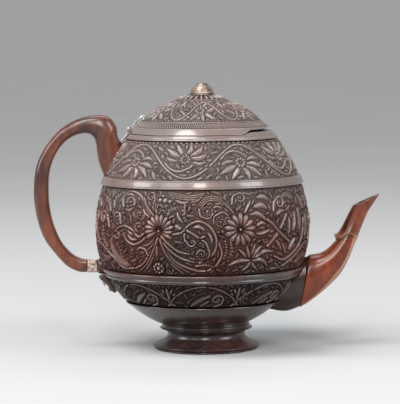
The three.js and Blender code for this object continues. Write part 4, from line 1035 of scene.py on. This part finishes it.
# Handle: matching points of its inner and outer outline, each x and z, and its width across
HANDLE = [
    (-64.4, 48.7, -64.5, 41.9, 8.4),
    (-67.7, 49.3, -69.5, 42.3, 8.6),
    (-72.2, 51.6, -75.9, 45.7, 8.8),
    (-77.5, 57.3, -82.6, 53.1, 9.0),
    (-80.7, 63.4, -87.7, 60.4, 9.0),
    (-83.2, 70.8, -91.0, 69.6, 9.0),
    (-84.7, 80.4, -92.9, 80.5, 9.0),
    (-84.8, 90.3, -92.8, 90.9, 9.0),
    (-83.7, 98.6, -91.4, 99.9, 9.0),
    (-80.9, 105.6, -88.1, 107.6, 9.2),
    (-77.3, 111.1, -83.5, 114.2, 9.6),
    (-72.8, 114.9, -77.6, 120.3, 10.2),
    (-67.7, 117.0, -69.5, 124.9, 10.8),
    (-63.1, 117.2, -60.8, 127.2, 11.4),
    (-60.1, 115.0, -52.5, 126.6, 12.2),
    (-58.8, 111.0, -48.0, 121.4, 12.6),
    (-58.4, 106.6, -46.9, 115.4, 11.6),
    (-57.4, 101.1, -43.4, 107.6, 11.4),
    (-54.9, 94.2, -46.9, 97.0, 10.5),
]
HANDLE_STATIONS = 150
HANDLE_SIDES = 48
HANDLE_ROUND_FROM = 0.5

# Spout: upper and lower outline, each x and z, then its width and the bore's radius
SPOUT = [
    (46.5, 48.9, 31.5, 21.4, 23.0, 7.5),
    (56.6, 50.3, 43.4, 19.6, 23.0, 7.0),
    (62.3, 51.2, 54.2, 23.9, 21.0, 6.3),
    (66.3, 53.5, 64.1, 31.0, 18.0, 5.2),
    (69.4, 56.8, 72.8, 39.6, 15.0, 4.5),
    (71.9, 60.6, 77.7, 47.9, 12.6, 4.0),
    (74.2, 65.2, 81.2, 56.8, 11.0, 3.7),
    (76.8, 70.6, 84.9, 65.6, 10.0, 3.5),
    (79.6, 75.9, 88.7, 73.8, 9.4, 3.3),
    (83.0, 81.4, 92.8, 80.1, 9.0, 3.2),
    (87.5, 88.4, 97.1, 87.0, 8.6, 3.2),
]
SPOUT_STATIONS = 170
SPOUT_SIDES = 96
# The mouth's slanted plane, through two points in the XZ plane
MOUTH_BACK = (81.2, 77.4)
MOUTH_TIP = (95.4, 83.6)
# Lower edge of the spout's upper sheath, as places along the spout; it points down at the inner side
LIP_TIP = 0.452
LIP_FLANK = 0.615
LIP_PROUD = 3.0
LIP_UNDERCUT = 0.9
LIP_FADE = 0.05
# The sheath runs on down the outer side as a keel between two fine edges
KEEL_TURN = math.radians(50)
KEEL_PROUD = 0.8
KEEL_EDGE = 0.15
# Behind this line, given by two XZ points, the sheath ends and a plain base goes on to the shell
SHEATH_LOW = (50.4, 19.0)
SHEATH_HIGH = (54.8, 43.0)
BASE_INSET = 1.0

# Foot and knob, as radius and height from below
FOOT_PROFILE = [
    (26.6, 0), (27.9, 0.2), (28.4, 0.8), (27.9, 1.4), (29.2, 2.0), (29.2, 2.4), (27.9, 3.2), (26.0, 4.0),
    (23.6, 5.0), (21.9, 6.4), (21.1, 8.1), (21.4, 9.5), (22.6, 10.5), (24.9, 11.1), (25.1, 11.5),
    (23.8, 12.0), (23.9, 13.0), (23.3, 14.2), (22.7, 16.5),
]
FOOT_LINES = (3.7, 10.6)
KNOB_AXIS_X = -1.2
KNOB_PROFILE = [
    (0, 138.0), (6.0, 138.0), (6.45, 138.3), (6.55, 138.9), (6.35, 139.45), (6.0, 139.7), (5.9, 139.95),
    (5.8, 140.4), (5.4, 141.0), (5.0, 141.35), (4.9, 141.6), (4.5, 142.1), (4.0, 142.55), (3.6, 142.8),
    (3.5, 143.1), (3.1, 143.55), (2.6, 144.0), (1.9, 144.25), (0, 144.35),
]
KNOB_LOBES = 12

# Ferrule, collar and tail plate at the handle's lower end: half sizes run across and up
FERRULE_X = (-64.1, -58.8)
FERRULE_HALF = (4.6, 3.6)
COLLAR_X = (-58.5, -53.0)
COLLAR_HALF = (5.2, 4.1)
TENON_Z = 45.2
TAIL_HEIGHTS = (41.4, 31.6)
TAIL_THICK = (4.2, 2.0)
TAIL_WIDTH = (9.6, 4.4)
TAIL_SUNK = -1.6

# Hinge, with its knuckles across Y and its two leaves
HINGE_AT = (-41.0, 119.7)
KNUCKLE_RADIUS = 1.25
LID_KNUCKLE = 2.1
FIXED_KNUCKLE = (2.4, 6.0)
STRAP_HEIGHTS = (119.3, 126.6)
STRAP_WIDTH = (3.36, 2.1)
STRAP_THICK = 0.6
STRAP_BOW = 0.9
FIXED_LEAF_HEIGHTS = (118.8, 112.6)
FIXED_LEAF_WIDTH = (10.8, 10.8)
LEAF_OFF = 0.35
LEAF_OUTER = 1.15

# Places along a strip that lies on the shell, from its start to its end
STRIP = np.linspace(0, 1, 24)
STRIP_SIDES = 28


def power(value, exponent):
    return np.sign(value) * np.abs(value) ** exponent


def sections(near, far, width, sides, near_square, far_square):
    """Closed sections across Y between two outlines in the XZ plane; each side has its own squareness."""
    angle = 2 * math.pi * np.arange(sides) / sides
    u, v = np.cos(angle), np.sin(angle)
    exponent = np.where(u < 0, near_square, far_square)
    middle, half = (near + far) / 2, (far - near) / 2
    x, z = (middle[:, [axis]] + half[:, [axis]] * power(u, exponent) for axis in (0, 1))
    return np.stack((x, width[:, None] / 2 * power(v, exponent), z), -1)


def lofted(name, points):
    """A closed mesh through rows of sections, with flat fans of triangles over its ends."""
    stations, sides = points.shape[:2]
    numbers = wrapped(np.arange(stations * sides).reshape(stations, sides))
    flat = np.vstack((points.reshape(-1, 3), points[0].mean(0), points[-1].mean(0)))
    low, high = len(flat) - 2, len(flat) - 1
    caps = [(b, a, low) for a, b in zip(numbers[0], numbers[0, 1:])]
    caps += [(a, b, high) for a, b in zip(numbers[-1], numbers[-1, 1:])]
    return outward(build_mesh(name, flat, strips(numbers), [np.array(caps)]))


def turned(name, profile, sides, axis_x):
    """A closed body of revolution from rows of radii, one for each side or one for all, and heights."""
    radius, z = profile
    turn = 2 * math.pi * np.arange(sides) / sides
    radius = np.broadcast_to(radius, (len(z), sides))
    points = (axis_x + radius * np.cos(turn), radius * np.sin(turn), np.broadcast_to(z, radius.shape))
    return lofted(name, np.stack(points, -1))


def foot_mesh():
    """Turned foot with fine lines along its rims."""
    profile = spline(FOOT_PROFILE, 180)
    profile[:, 0] -= 0.22 * sum(line(profile[:, 1], z, 0.13) for z in FOOT_LINES)
    profile = np.vstack(((0, 0), profile, (0, FOOT_PROFILE[-1][1])))
    return turned("foot_turned", (profile[:, :1], profile[:, 1:]), 128, 0.0)


def knob_mesh():
    """A small bud: a rim, shallow lobes round its swell and a flat crown."""
    profile = spline(KNOB_PROFILE, 110)
    radius, z = profile[:, :1], profile[:, 1:]
    sides = 72
    turn = 2 * math.pi * np.arange(sides) / sides
    swell = smooth_step((z - 139.8) / 0.8) * (1 - smooth_step((z - 142.6) / 0.9))
    return turned("knob_bud", (radius + 0.13 * np.cos(KNOB_LOBES * turn) * swell, z), sides, KNOB_AXIS_X)


def handle_mesh():
    """Rounded on its outer side, flatter on the inner face, with a soft edge between them."""
    rows = spline(HANDLE, HANDLE_STATIONS)
    # squarer along the grip's inner face, rounder in the swollen top and the pad
    top = smooth_step((np.linspace(0, 1, HANDLE_STATIONS) - HANDLE_ROUND_FROM) / 0.15)[:, None]
    return lofted("handle_carved", sections(rows[:, :2], rows[:, 2:4], rows[:, 4], HANDLE_SIDES,
                                            0.5 + 0.35 * top, 0.85 + 0.1 * top))


def above_line(points, low, high):
    """How far points lie to the left of the line from low to high in the XZ plane."""
    run, rise = high[0] - low[0], high[1] - low[1]
    return ((points[..., 2] - low[1]) * run - (points[..., 0] - low[0]) * rise) / math.hypot(run, rise)


def trimmed(lines):
    """Slides the points of each line of a loft so that the line ends in the mouth's plane."""
    stations, sides = lines.shape[:2]
    result = np.empty_like(lines)
    for side in range(sides):
        line_points = lines[:, side]
        height = above_line(line_points, MOUTH_BACK, MOUTH_TIP)
        first = int(np.argmax(height > 0))
        share = -height[first - 1] / (height[first] - height[first - 1])
        place = np.linspace(0, first - 1 + share, stations)
        low = np.minimum(place.astype(int), stations - 2)
        part = (place - low)[:, None]
        result[:, side] = line_points[low] * (1 - part) + line_points[low + 1] * part
    return result


def lip_place(away):
    """Place of the sheath's edge; away is the turn from the outer side."""
    across = np.clip((away - KEEL_TURN) / (math.pi - KEEL_TURN), 0, 1)
    return LIP_FLANK - (LIP_FLANK - LIP_TIP) * across ** 1.7 + 0.02 * np.sin(2 * math.pi * across)


def spout_swell(place, away, base):
    """How far sheath, lip and keel stand off the spout's plain form, and their edges' rubbing and painted
    highlights.
    """
    # the sheath flares to its edge, and the root is cut in a little below it
    past = place - lip_place(away)
    above = smooth_step((past + 0.002) / 0.006)
    flare = LIP_PROUD * (0.25 + 0.75 * (away / math.pi) ** 3) * np.exp(-np.maximum(past, 0) / LIP_FADE)
    under = -LIP_UNDERCUT * np.exp(-np.maximum(-past, 0) / LIP_FADE)
    keel_turn = KEEL_TURN * (0.35 + 0.65 * smooth_step((place - 0.1) / 0.3))
    keel = smooth_step((keel_turn + 0.03 - away) / 0.06)
    swell = above * flare + (1 - above) * (1 - keel) * under
    edge = np.exp(-((away - keel_turn) / KEEL_EDGE) ** 2) * (1 - smooth_step((place - LIP_FLANK) / LIP_FADE))
    swell = swell + KEEL_PROUD * (edge + 0.3 * keel * (1 - above)) - BASE_INSET * base
    lip = np.exp(-((past - 0.004) / 0.008) ** 2)
    return swell, np.clip(edge + lip, 0, 1) * (1 - base)


def spout_mesh():
    """A leaf-wrapped root and a plainer tube above it, bored through, with its mouth cut on a slant."""
    rows = spline(SPOUT, SPOUT_STATIONS)
    top, bottom, width, bore = rows[:, :2], rows[:, 2:4], rows[:, 4], rows[:, 5]
    middle = (top + bottom) / 2
    body = sections(top, bottom, width, SPOUT_SIDES, 0.9, 0.9)
    turn = 2 * math.pi * np.arange(SPOUT_SIDES)[None, :] / SPOUT_SIDES
    away = np.abs(np.arctan2(np.sin(turn), np.cos(turn)))
    base = smooth_step((above_line(body, SHEATH_LOW, SHEATH_HIGH) + 0.25) / 0.5)
    swell, worn_and_highlight = spout_swell(np.linspace(0, 1, SPOUT_STATIONS)[:, None], away, base)
    centre = np.stack((middle[:, 0], np.zeros(SPOUT_STATIONS), middle[:, 1]), -1)[:, None, :]
    outwards = body - centre
    body = centre + outwards * (1 + swell[..., None] / np.linalg.norm(outwards, axis=-1, keepdims=True))
    half = bottom - top
    half = half / np.linalg.norm(half, axis=1, keepdims=True) * bore[:, None]
    channel = trimmed(sections(middle - half, middle + half, 2 * bore, SPOUT_SIDES, 1.0, 1.0))
    body = trimmed(np.concatenate((body, 1 - base[..., None], worn_and_highlight[..., None]), -1))
    points = np.concatenate((body[..., :3], channel[::-1]))
    numbers = np.arange(points.shape[0] * SPOUT_SIDES).reshape(-1, SPOUT_SIDES)
    faces = strips(wrapped(np.vstack((numbers, numbers[:1]))))
    root = faces.pop()
    mouth = faces.pop(SPOUT_STATIONS - 1)
    mesh = outward(build_mesh("spout_carved", points, faces, [root, mouth]))
    # first layer: painted shade on the base and in the bore; second: rubbed edges with painted highlights
    inside = np.zeros(channel.shape[:2])
    for name, column in (("level", 3), ("wear_and_highlight", 4)):
        store(mesh, name, np.concatenate((body[..., column], inside)))
    return mesh


def rounded_block(name, from_x, to_x, halves, squareness, dish):
    """A block along X with a soft-edged oval section, drawn in a little at its ends and its waist."""
    x = np.linspace(from_x, to_x, 26)
    end = np.minimum(x - from_x, to_x - x)
    near_edge = np.sqrt(np.clip(1 - (1 - np.clip(end / 0.6, 0, 1)) ** 2, 0, 1))
    size = (1 - dish * np.sin(math.pi * (x - from_x) / (to_x - from_x))) - 0.13 * (1 - near_edge)
    angle = 2 * math.pi * np.arange(48) / 48
    y = halves[0] * size[:, None] * power(np.cos(angle), squareness)[None, :]
    z = TENON_Z + halves[1] * size[:, None] * power(np.sin(angle), squareness)[None, :]
    return lofted(name, np.stack((np.broadcast_to(x[:, None], y.shape), y, z), -1))


def strip_down(name, heights, low, high, widths, squareness):
    """A strip that lies along the shell's handle side; low and high give its two faces off the egg."""
    turn = np.full(len(STRIP), -QUARTER)
    near, far = (egg_point(turn, np.linspace(*heights, len(STRIP)), face)[:, (0, 2)] for face in (low, high))
    width = widths[0] + (widths[1] - widths[0]) * STRIP ** 2
    return lofted(name, sections(near, far, width, STRIP_SIDES, squareness, squareness))


def tail_mesh():
    """A plate below the collar that thins downwards in soft waves."""
    thick = TAIL_THICK[0] + (TAIL_THICK[1] - TAIL_THICK[0]) * STRIP + 0.35 * np.sin(3 * math.pi * STRIP)
    return strip_down("tail_carved", TAIL_HEIGHTS, TAIL_SUNK, thick, TAIL_WIDTH, 0.75)


def barrel(from_y, to_y):
    """A knuckle across Y with a bead at either end."""
    stations = 20
    y = np.linspace(from_y, to_y, stations)
    share = np.linspace(0, 1, stations)
    bead = np.maximum(*(np.exp(-((share - at) / 0.1) ** 2) for at in (0.12, 0.88)))
    rounding = np.sqrt(np.clip(1 - np.abs(2 * share - 1) ** 14, 0.2, 1))
    reach = KNUCKLE_RADIUS * (0.86 + 0.14 * bead) * rounding
    angle = 2 * math.pi * np.arange(24) / 24
    x = HINGE_AT[0] + reach[:, None] * np.cos(angle)
    z = HINGE_AT[1] + reach[:, None] * np.sin(angle)
    return lofted("barrel", np.stack((x, np.broadcast_to(y[:, None], x.shape), z), -1))


def lid_strap_mesh():
    """A thin bowed strap, and the knuckle that it turns on."""
    bow = LEAF_OFF + STRAP_BOW * np.sin(math.pi * STRIP) ** 0.8
    strap = strip_down("strap", STRAP_HEIGHTS, bow, bow + STRAP_THICK, STRAP_WIDTH, 0.6)
    return joined("hinge_strap", [strap, barrel(-LID_KNUCKLE, LID_KNUCKLE)])


def fixed_leaf_mesh():
    """The leaf on the shell, with a knuckle on either side of the lid's."""
    leaf = strip_down("leaf", FIXED_LEAF_HEIGHTS, LEAF_OFF, LEAF_OUTER, FIXED_LEAF_WIDTH, 0.4)
    near, far = FIXED_KNUCKLE
    return joined("hinge_leaf", [leaf, barrel(near, far), barrel(-far, -near)])


def add_fittings(looks):
    for mesh, body, slot, node in (
            (handle_mesh(), "pot", "red_wood", "handle"),
            (spout_mesh(), "pot", "red_wood", "spout"),
            (foot_mesh(), "pot", "shell_wood", "foot"),
            (rounded_block("ferrule_bone", *FERRULE_X, FERRULE_HALF, 0.62, 0.09),
             "pot", "bone", "handle_ferrule"),
            (rounded_block("collar_carved", *COLLAR_X, COLLAR_HALF, 0.72, 0.0),
             "pot", "dark_wood", "handle_collar"),
            (tail_mesh(), "pot", "dark_wood", "handle_tail_plate"),
            (knob_mesh(), "lid", "brass", "knob"),
            (lid_strap_mesh(), "lid", "silver", "hinge_lid_leaf"),
            (fixed_leaf_mesh(), "pot", "silver", "hinge_fixed_leaf")):
        look = {"handle": "handle_wood", "spout": "spout_wood", "foot": "foot_wood"}.get(node, slot)
        add_piece(mesh, body, looks[look], slot, node)


# Materials

WHITE = (1.0, 1.0, 1.0)
# The pot's height in metres
TOP_HEIGHT = 0.145
# Stretch of a texture: none, and long figure up and down
EVEN = (1.0, 1.0, 1.0)
UPRIGHT = (1.0, 1.0, 0.35)


class Look:
    """A material in the making. Its methods add nodes and return the socket that holds their result."""

    def __init__(self, name):
        self.material = bpy.data.materials.new(name)
        self.material.use_nodes = True
        self.shader = self.material.node_tree.nodes["Principled BSDF"]

    def feed(self, socket, value):
        """Gives a socket a constant, or links it to another socket."""
        if isinstance(value, bpy.types.NodeSocket):
            self.material.node_tree.links.new(value, socket)
        elif socket.type == "RGBA":
            socket.default_value = (*value, 1.0)
        else:
            socket.default_value = value

    def node(self, kind, inputs=()):
        node = self.material.node_tree.nodes.new(kind)
        for name, value in dict(inputs).items():
            self.feed(node.inputs[name], value)
        return node

    def set(self, inputs):
        for name, value in inputs.items():
            self.feed(self.shader.inputs[name], value)

    def place(self):
        return self.node("ShaderNodeTexCoord").outputs["Object"]

    def noise(self, scale, detail=4.0, stretch=EVEN):
        mapping = self.node("ShaderNodeMapping", {"Vector": self.place(), "Scale": stretch})
        inputs = {"Vector": mapping.outputs["Vector"], "Scale": scale, "Detail": detail}
        return self.node("ShaderNodeTexNoise", inputs).outputs["Fac"]

    def ramp(self, source, *stops):
        """Colours along a value; each stop is a position and a linear colour."""
        node = self.node("ShaderNodeValToRGB", {"Fac": source})
        for element, (position, color) in zip(node.color_ramp.elements, stops):
            element.position = position
            element.color = (*color, 1.0)
        return node.outputs["Color"]

    def mixed(self, first, second, factor, mode="MIX"):
        node = self.node("ShaderNodeMix")
        node.data_type = "RGBA"
        node.blend_type = mode
        for value, socket in ((first, node.inputs[6]), (second, node.inputs[7]), (factor, node.inputs[0])):
            self.feed(socket, value)
        return node.outputs[2]

    def times(self, first, second):
        return self.mixed(first, second, 1.0, "MULTIPLY")

    def spread(self, source, low, high, to_low, to_high):
        inputs = {"Value": source, "From Min": low, "From Max": high, "To Min": to_low, "To Max": to_high}
        return self.node("ShaderNodeMapRange", inputs).outputs["Result"]

    def height_share(self):
        """0 at the table and 1 at the pot's top."""
        height = self.node("ShaderNodeSeparateXYZ", {"Vector": self.place()}).outputs["Z"]
        return self.spread(height, 0.0, TOP_HEIGHT, 0.0, 1.0)

    def layer(self, name):
        """A value that the mesh carries at its vertices."""
        node = self.node("ShaderNodeAttribute")
        node.attribute_name = name
        return node.outputs["Fac"]

    def grain(self, texture, distance, strength):
        """Fine grain felt in the shading."""
        inputs = {"Height": texture, "Distance": distance, "Strength": strength}
        self.set({"Normal": self.node("ShaderNodeBump", inputs).outputs["Normal"]})


# Tints of the shell by height: painted shade low down, painted grey sheen towards the top
LOW_PAINTED_SHADE = (0.28, 0.31, 0.35)
TOP_PAINTED_SHEEN = (0.185, 0.149, 0.136)
TOP_HOLLOW_SHEEN = (0.036, 0.029, 0.027)


def carved_wood(name, red, grey, ground, worn_and_highlight):
    """Polished shell: two browns in soft patches, painted shade on the carving's ground, and paler crests,
    partly rubbed by use and partly painted highlights.

    The low part is darkened with painted shade, and the shoulder and the lid are greyer and paler
    with painted sheen.
    """
    look = Look(name)
    share = look.height_share()
    # painted shade: the low part is darkened
    low_painted_shade = look.ramp(share, (0.28, LOW_PAINTED_SHADE), (0.36, WHITE))
    patches = look.ramp(look.noise(38.0, 5.0), (0.34, grey), (0.58, red))
    flecks = look.ramp(look.noise(420.0, 3.0), (0.3, (0.7, 0.7, 0.7)), (0.7, (1.2, 1.2, 1.2)))
    tops = look.times(look.times(patches, flecks), low_painted_shade)
    # painted sheen: the shoulder and the lid greyer and paler
    tops = look.mixed(tops, TOP_PAINTED_SHEEN, look.spread(share, 0.45, 0.68, 0.0, 0.7))
    # painted shade in the carving's hollows, turning to painted sheen towards the top
    hollows = look.ramp(share, (0.5, ground), (0.7, TOP_HOLLOW_SHEEN))
    level = look.layer("level")
    carved = look.mixed(hollows, tops, look.spread(level, 0.1, 0.62, 0.0, 1.0))
    look.set({
        # paler crests: rubbing by use and painted highlights
        "Base Color": look.mixed(carved, worn_and_highlight, look.spread(look.layer("wear_and_highlight"), 0.2, 0.6, 0.0, 0.65)),
        "Coat Weight": look.spread(level, 0.4, 0.9, 0.0, 0.75),
        "Coat Roughness": 0.11,
        "Specular IOR Level": look.spread(level, 0.2, 0.9, 0.06, 0.5),
        "Roughness": look.spread(level, 0.2, 0.9, 0.55, 0.3),
    })
    look.grain(look.noise(900.0, 5.0), 0.00006, 0.5)
    return look.material


# Painted shade for the spout's plain base by the shell, where the shell's bulge overhangs it
BASE_PAINTED_SHADE = (0.028, 0.012, 0.008)


def polished_wood(name, light, dark, roughness, stretch, worn_and_highlight=None):
    """Polished hardwood: long figure between two colours, fine pores, and, where given, painted shade on the
    spout's base and paler edges, partly rubbed by use and partly painted highlights.
    """
    look = Look(name)
    figure = look.ramp(look.noise(34.0, 6.0, stretch), (0.4, dark), (0.6, light))
    pores = look.ramp(look.noise(300.0, 3.0, stretch), (0.35, (0.66, 0.62, 0.6)), (0.6, (1.1, 1.1, 1.1)))
    color = look.times(figure, pores)
    if worn_and_highlight:
        # painted shade on the spout's base and in its bore
        color = look.mixed(BASE_PAINTED_SHADE, color, look.layer("level"))
        # paler edges of keel and lip: rubbing by use and painted highlights
        color = look.mixed(color, worn_and_highlight, look.spread(look.layer("wear_and_highlight"), 0.3, 1.0, 0.0, 0.85))
    look.set({
        "Base Color": color,
        "Roughness": look.spread(look.noise(55.0, 3.0), 0.3, 0.7, roughness - 0.07, roughness + 0.09),
        "Coat Weight": 0.5,
        "Coat Roughness": 0.2,
        "Specular IOR Level": 0.3,
    })
    look.grain(look.noise(380.0, 4.0, stretch), 0.00005, 0.5)
    return look.material


def worn_metal(name, bright, dull, roughness):
    """Old metal: tarnish in patches, duller where it is darker, and fine scratches."""
    look = Look(name)
    patches = look.noise(240.0, 5.0)
    look.set({
        "Metallic": 1.0,
        "Base Color": look.ramp(patches, (0.35, dull), (0.6, bright)),
        "Roughness": look.spread(patches, 0.3, 0.7, roughness + 0.14, roughness - 0.06),
    })
    look.grain(look.noise(1500.0, 3.0), 0.00003, 0.6)
    return look.material


def bone_look():
    """Aged pale bone with streaks along it and dark stains."""
    look = Look("bone")
    streaks = look.noise(160.0, 4.0, (0.3, 1.0, 1.0))
    pale = look.ramp(streaks, (0.34, (0.36, 0.26, 0.2)), (0.66, (0.56, 0.42, 0.34)))
    stains = look.ramp(look.noise(330.0, 2.0), (0.4, (0.16, 0.1, 0.07)), (0.52, WHITE))
    look.set({"Base Color": look.times(pale, stains), "Roughness": look.spread(streaks, 0.3, 0.7, 0.5, 0.36)})
    return look.material


# Red and grey brown, painted shade for the ground, and the crests' colour, rubbed by use and with painted
# highlights, of the carved parts
SHELLS = {
    "shell_wood": ((0.122, 0.044, 0.03), (0.068, 0.047, 0.041), (0.01, 0.0045, 0.004), (0.36, 0.27, 0.24)),
    "rim_wood": ((0.1, 0.028, 0.017), (0.06, 0.026, 0.018), (0.04, 0.018, 0.014), (0.24, 0.12, 0.09)),
}
# Light and dark figure, roughness and stretch of the hardwoods, and the spout's edges, rubbed and with
# painted highlights
HARDWOODS = {
    "foot_wood": ((0.052, 0.023, 0.02), (0.023, 0.014, 0.013), 0.28, (1.0, 1.0, 2.6)),
    "handle_wood": ((0.155, 0.044, 0.021), (0.045, 0.019, 0.014), 0.3, UPRIGHT),
    "spout_wood": ((0.21, 0.036, 0.006), (0.04, 0.009, 0.004), 0.28, UPRIGHT, (0.42, 0.2, 0.12)),
    "red_wood": ((0.2, 0.05, 0.018), (0.1, 0.026, 0.011), 0.3, UPRIGHT),
    "dark_wood": ((0.07, 0.032, 0.022), (0.035, 0.017, 0.013), 0.34, (1.0, 1.0, 0.4)),
}
# Bright and dull metal, and its roughness
METALS = {
    "brass": ((0.36, 0.28, 0.23), (0.13, 0.085, 0.068), 0.5),
    "silver": ((0.66, 0.62, 0.59), (0.3, 0.27, 0.25), 0.34),
}


def make_looks():
    """All materials of the object, by name."""
    looks = {"bone": bone_look()}
    for make, table in ((carved_wood, SHELLS), (polished_wood, HARDWOODS), (worn_metal, METALS)):
        looks.update({name: make(name, *values) for name, values in table.items()})
    return looks


# Stage

# The place that the lights point at, on the pot's axis
LIT_PLACE = (0.0, 0.0, 0.07)


def placed(name, data, place, target, roll=0.0):
    """An object at a place, turned so that its -Z axis points at the target."""
    thing = bpy.data.objects.new(name, data)
    thing.location = place
    thing.rotation_euler = (Vector(target) - thing.location).to_track_quat("-Z", "Y").to_euler()
    thing.rotation_euler.rotate_axis("Z", roll)
    bpy.context.scene.collection.objects.link(thing)
    return thing


def add_camera():
    data = bpy.data.cameras.new("camera")
    data.lens = LENS
    data.clip_end = 20.0
    place = (CAMERA_SIDE, -CAMERA_DISTANCE, CAMERA_HEIGHT)
    bpy.context.scene.camera = placed("camera", data, place, AIM, ROLL)


def add_light(name, place, size, power, color=WHITE):
    data = bpy.data.lights.new(name, "AREA")
    data.shape = "RECTANGLE"
    data.size, data.size_y = size
    data.energy = power
    data.color = color
    placed(name, data, place, LIT_PLACE).visible_camera = False


def add_sun(name, place, strength, angle):
    """A broad even light from the side of place, the same over the whole floor."""
    data = bpy.data.lights.new(name, "SUN")
    data.energy = strength
    data.angle = math.radians(angle)
    placed(name, data, place, (0.0, 0.0, 0.0))


def add_floor():
    look = Look("floor")
    look.set({
        "Base Color": look.ramp(look.noise(3.0), (0.3, (0.42, 0.418, 0.416)), (0.7, (0.44, 0.437, 0.434))),
        "Roughness": 1.0,
        "Specular IOR Level": 0.0,
    })
    bpy.ops.mesh.primitive_plane_add(size=60.0)
    floor = bpy.context.object
    floor.name = "floor"
    floor.data.materials.append(look.material)


def set_world():
    """An even pale room: the camera sees the backdrop's own colour, and the light is softer."""
    world = bpy.data.worlds.new("studio")
    world.use_nodes = True
    nodes, links = world.node_tree.nodes, world.node_tree.links
    room = nodes["Background"]
    room.inputs["Color"].default_value = (0.92, 0.95, 1.0, 1.0)
    room.inputs["Strength"].default_value = 0.2
    backdrop = nodes.new("ShaderNodeBackground")
    backdrop.inputs["Color"].default_value = (0.353, 0.354, 0.356, 1.0)
    path = nodes.new("ShaderNodeLightPath")
    seen = path.outputs["Is Camera Ray"]
    for kind in ("Is Glossy Ray", "Is Transmission Ray"):
        total = nodes.new("ShaderNodeMath")
        total.operation = "ADD"
        total.use_clamp = True
        links.new(seen, total.inputs[0])
        links.new(path.outputs[kind], total.inputs[1])
        seen = total.outputs[0]
    choice = nodes.new("ShaderNodeMixShader")
    for source, socket in zip((seen, room.outputs[0], backdrop.outputs[0]), choice.inputs):
        links.new(source, socket)
    links.new(choice.outputs[0], nodes["World Output"].inputs["Surface"])
    bpy.context.scene.world = world


def finish_nodes(looks):
    """Gives each carried-over CAD node its material by the record's slot."""
    for entry in frame["record"]["subparts"]:
        node = frame["nodes"][entry["node"]]
        node.data.materials.clear()
        node.data.materials.append(looks[entry["material_slot"]])


looks = make_looks()
add_camera()
set_world()
add_sun("overhead", (-0.35, -0.3, 1.0), 2.2, 28)
add_light("behind", (0.1, 0.5, 0.95), (0.8, 0.25), 2.6)
add_light("key", (-0.06, -1.2, 0.85), (0.3, 0.9), 13.0, (1.0, 0.94, 0.88))
add_light("front_left", (-0.65, -0.85, 0.85), (0.45, 0.45), 3.0, (0.95, 0.97, 1.0))
add_light("left", (-1.05, -0.25, 0.65), (0.45, 0.9), 10.5, (0.88, 0.94, 1.0))
add_light("right", (0.95, -0.5, 0.65), (0.5, 0.9), 10.5, (0.88, 0.94, 1.0))
add_floor()
finish_nodes(looks)
add_body(looks["shell_wood"], looks["rim_wood"])
add_piece(lid_mesh(), "lid", looks["shell_wood"], "shell_wood", "lid_shell")
add_fittings(looks)
bpy.context.scene.view_settings.view_transform = "Standard"
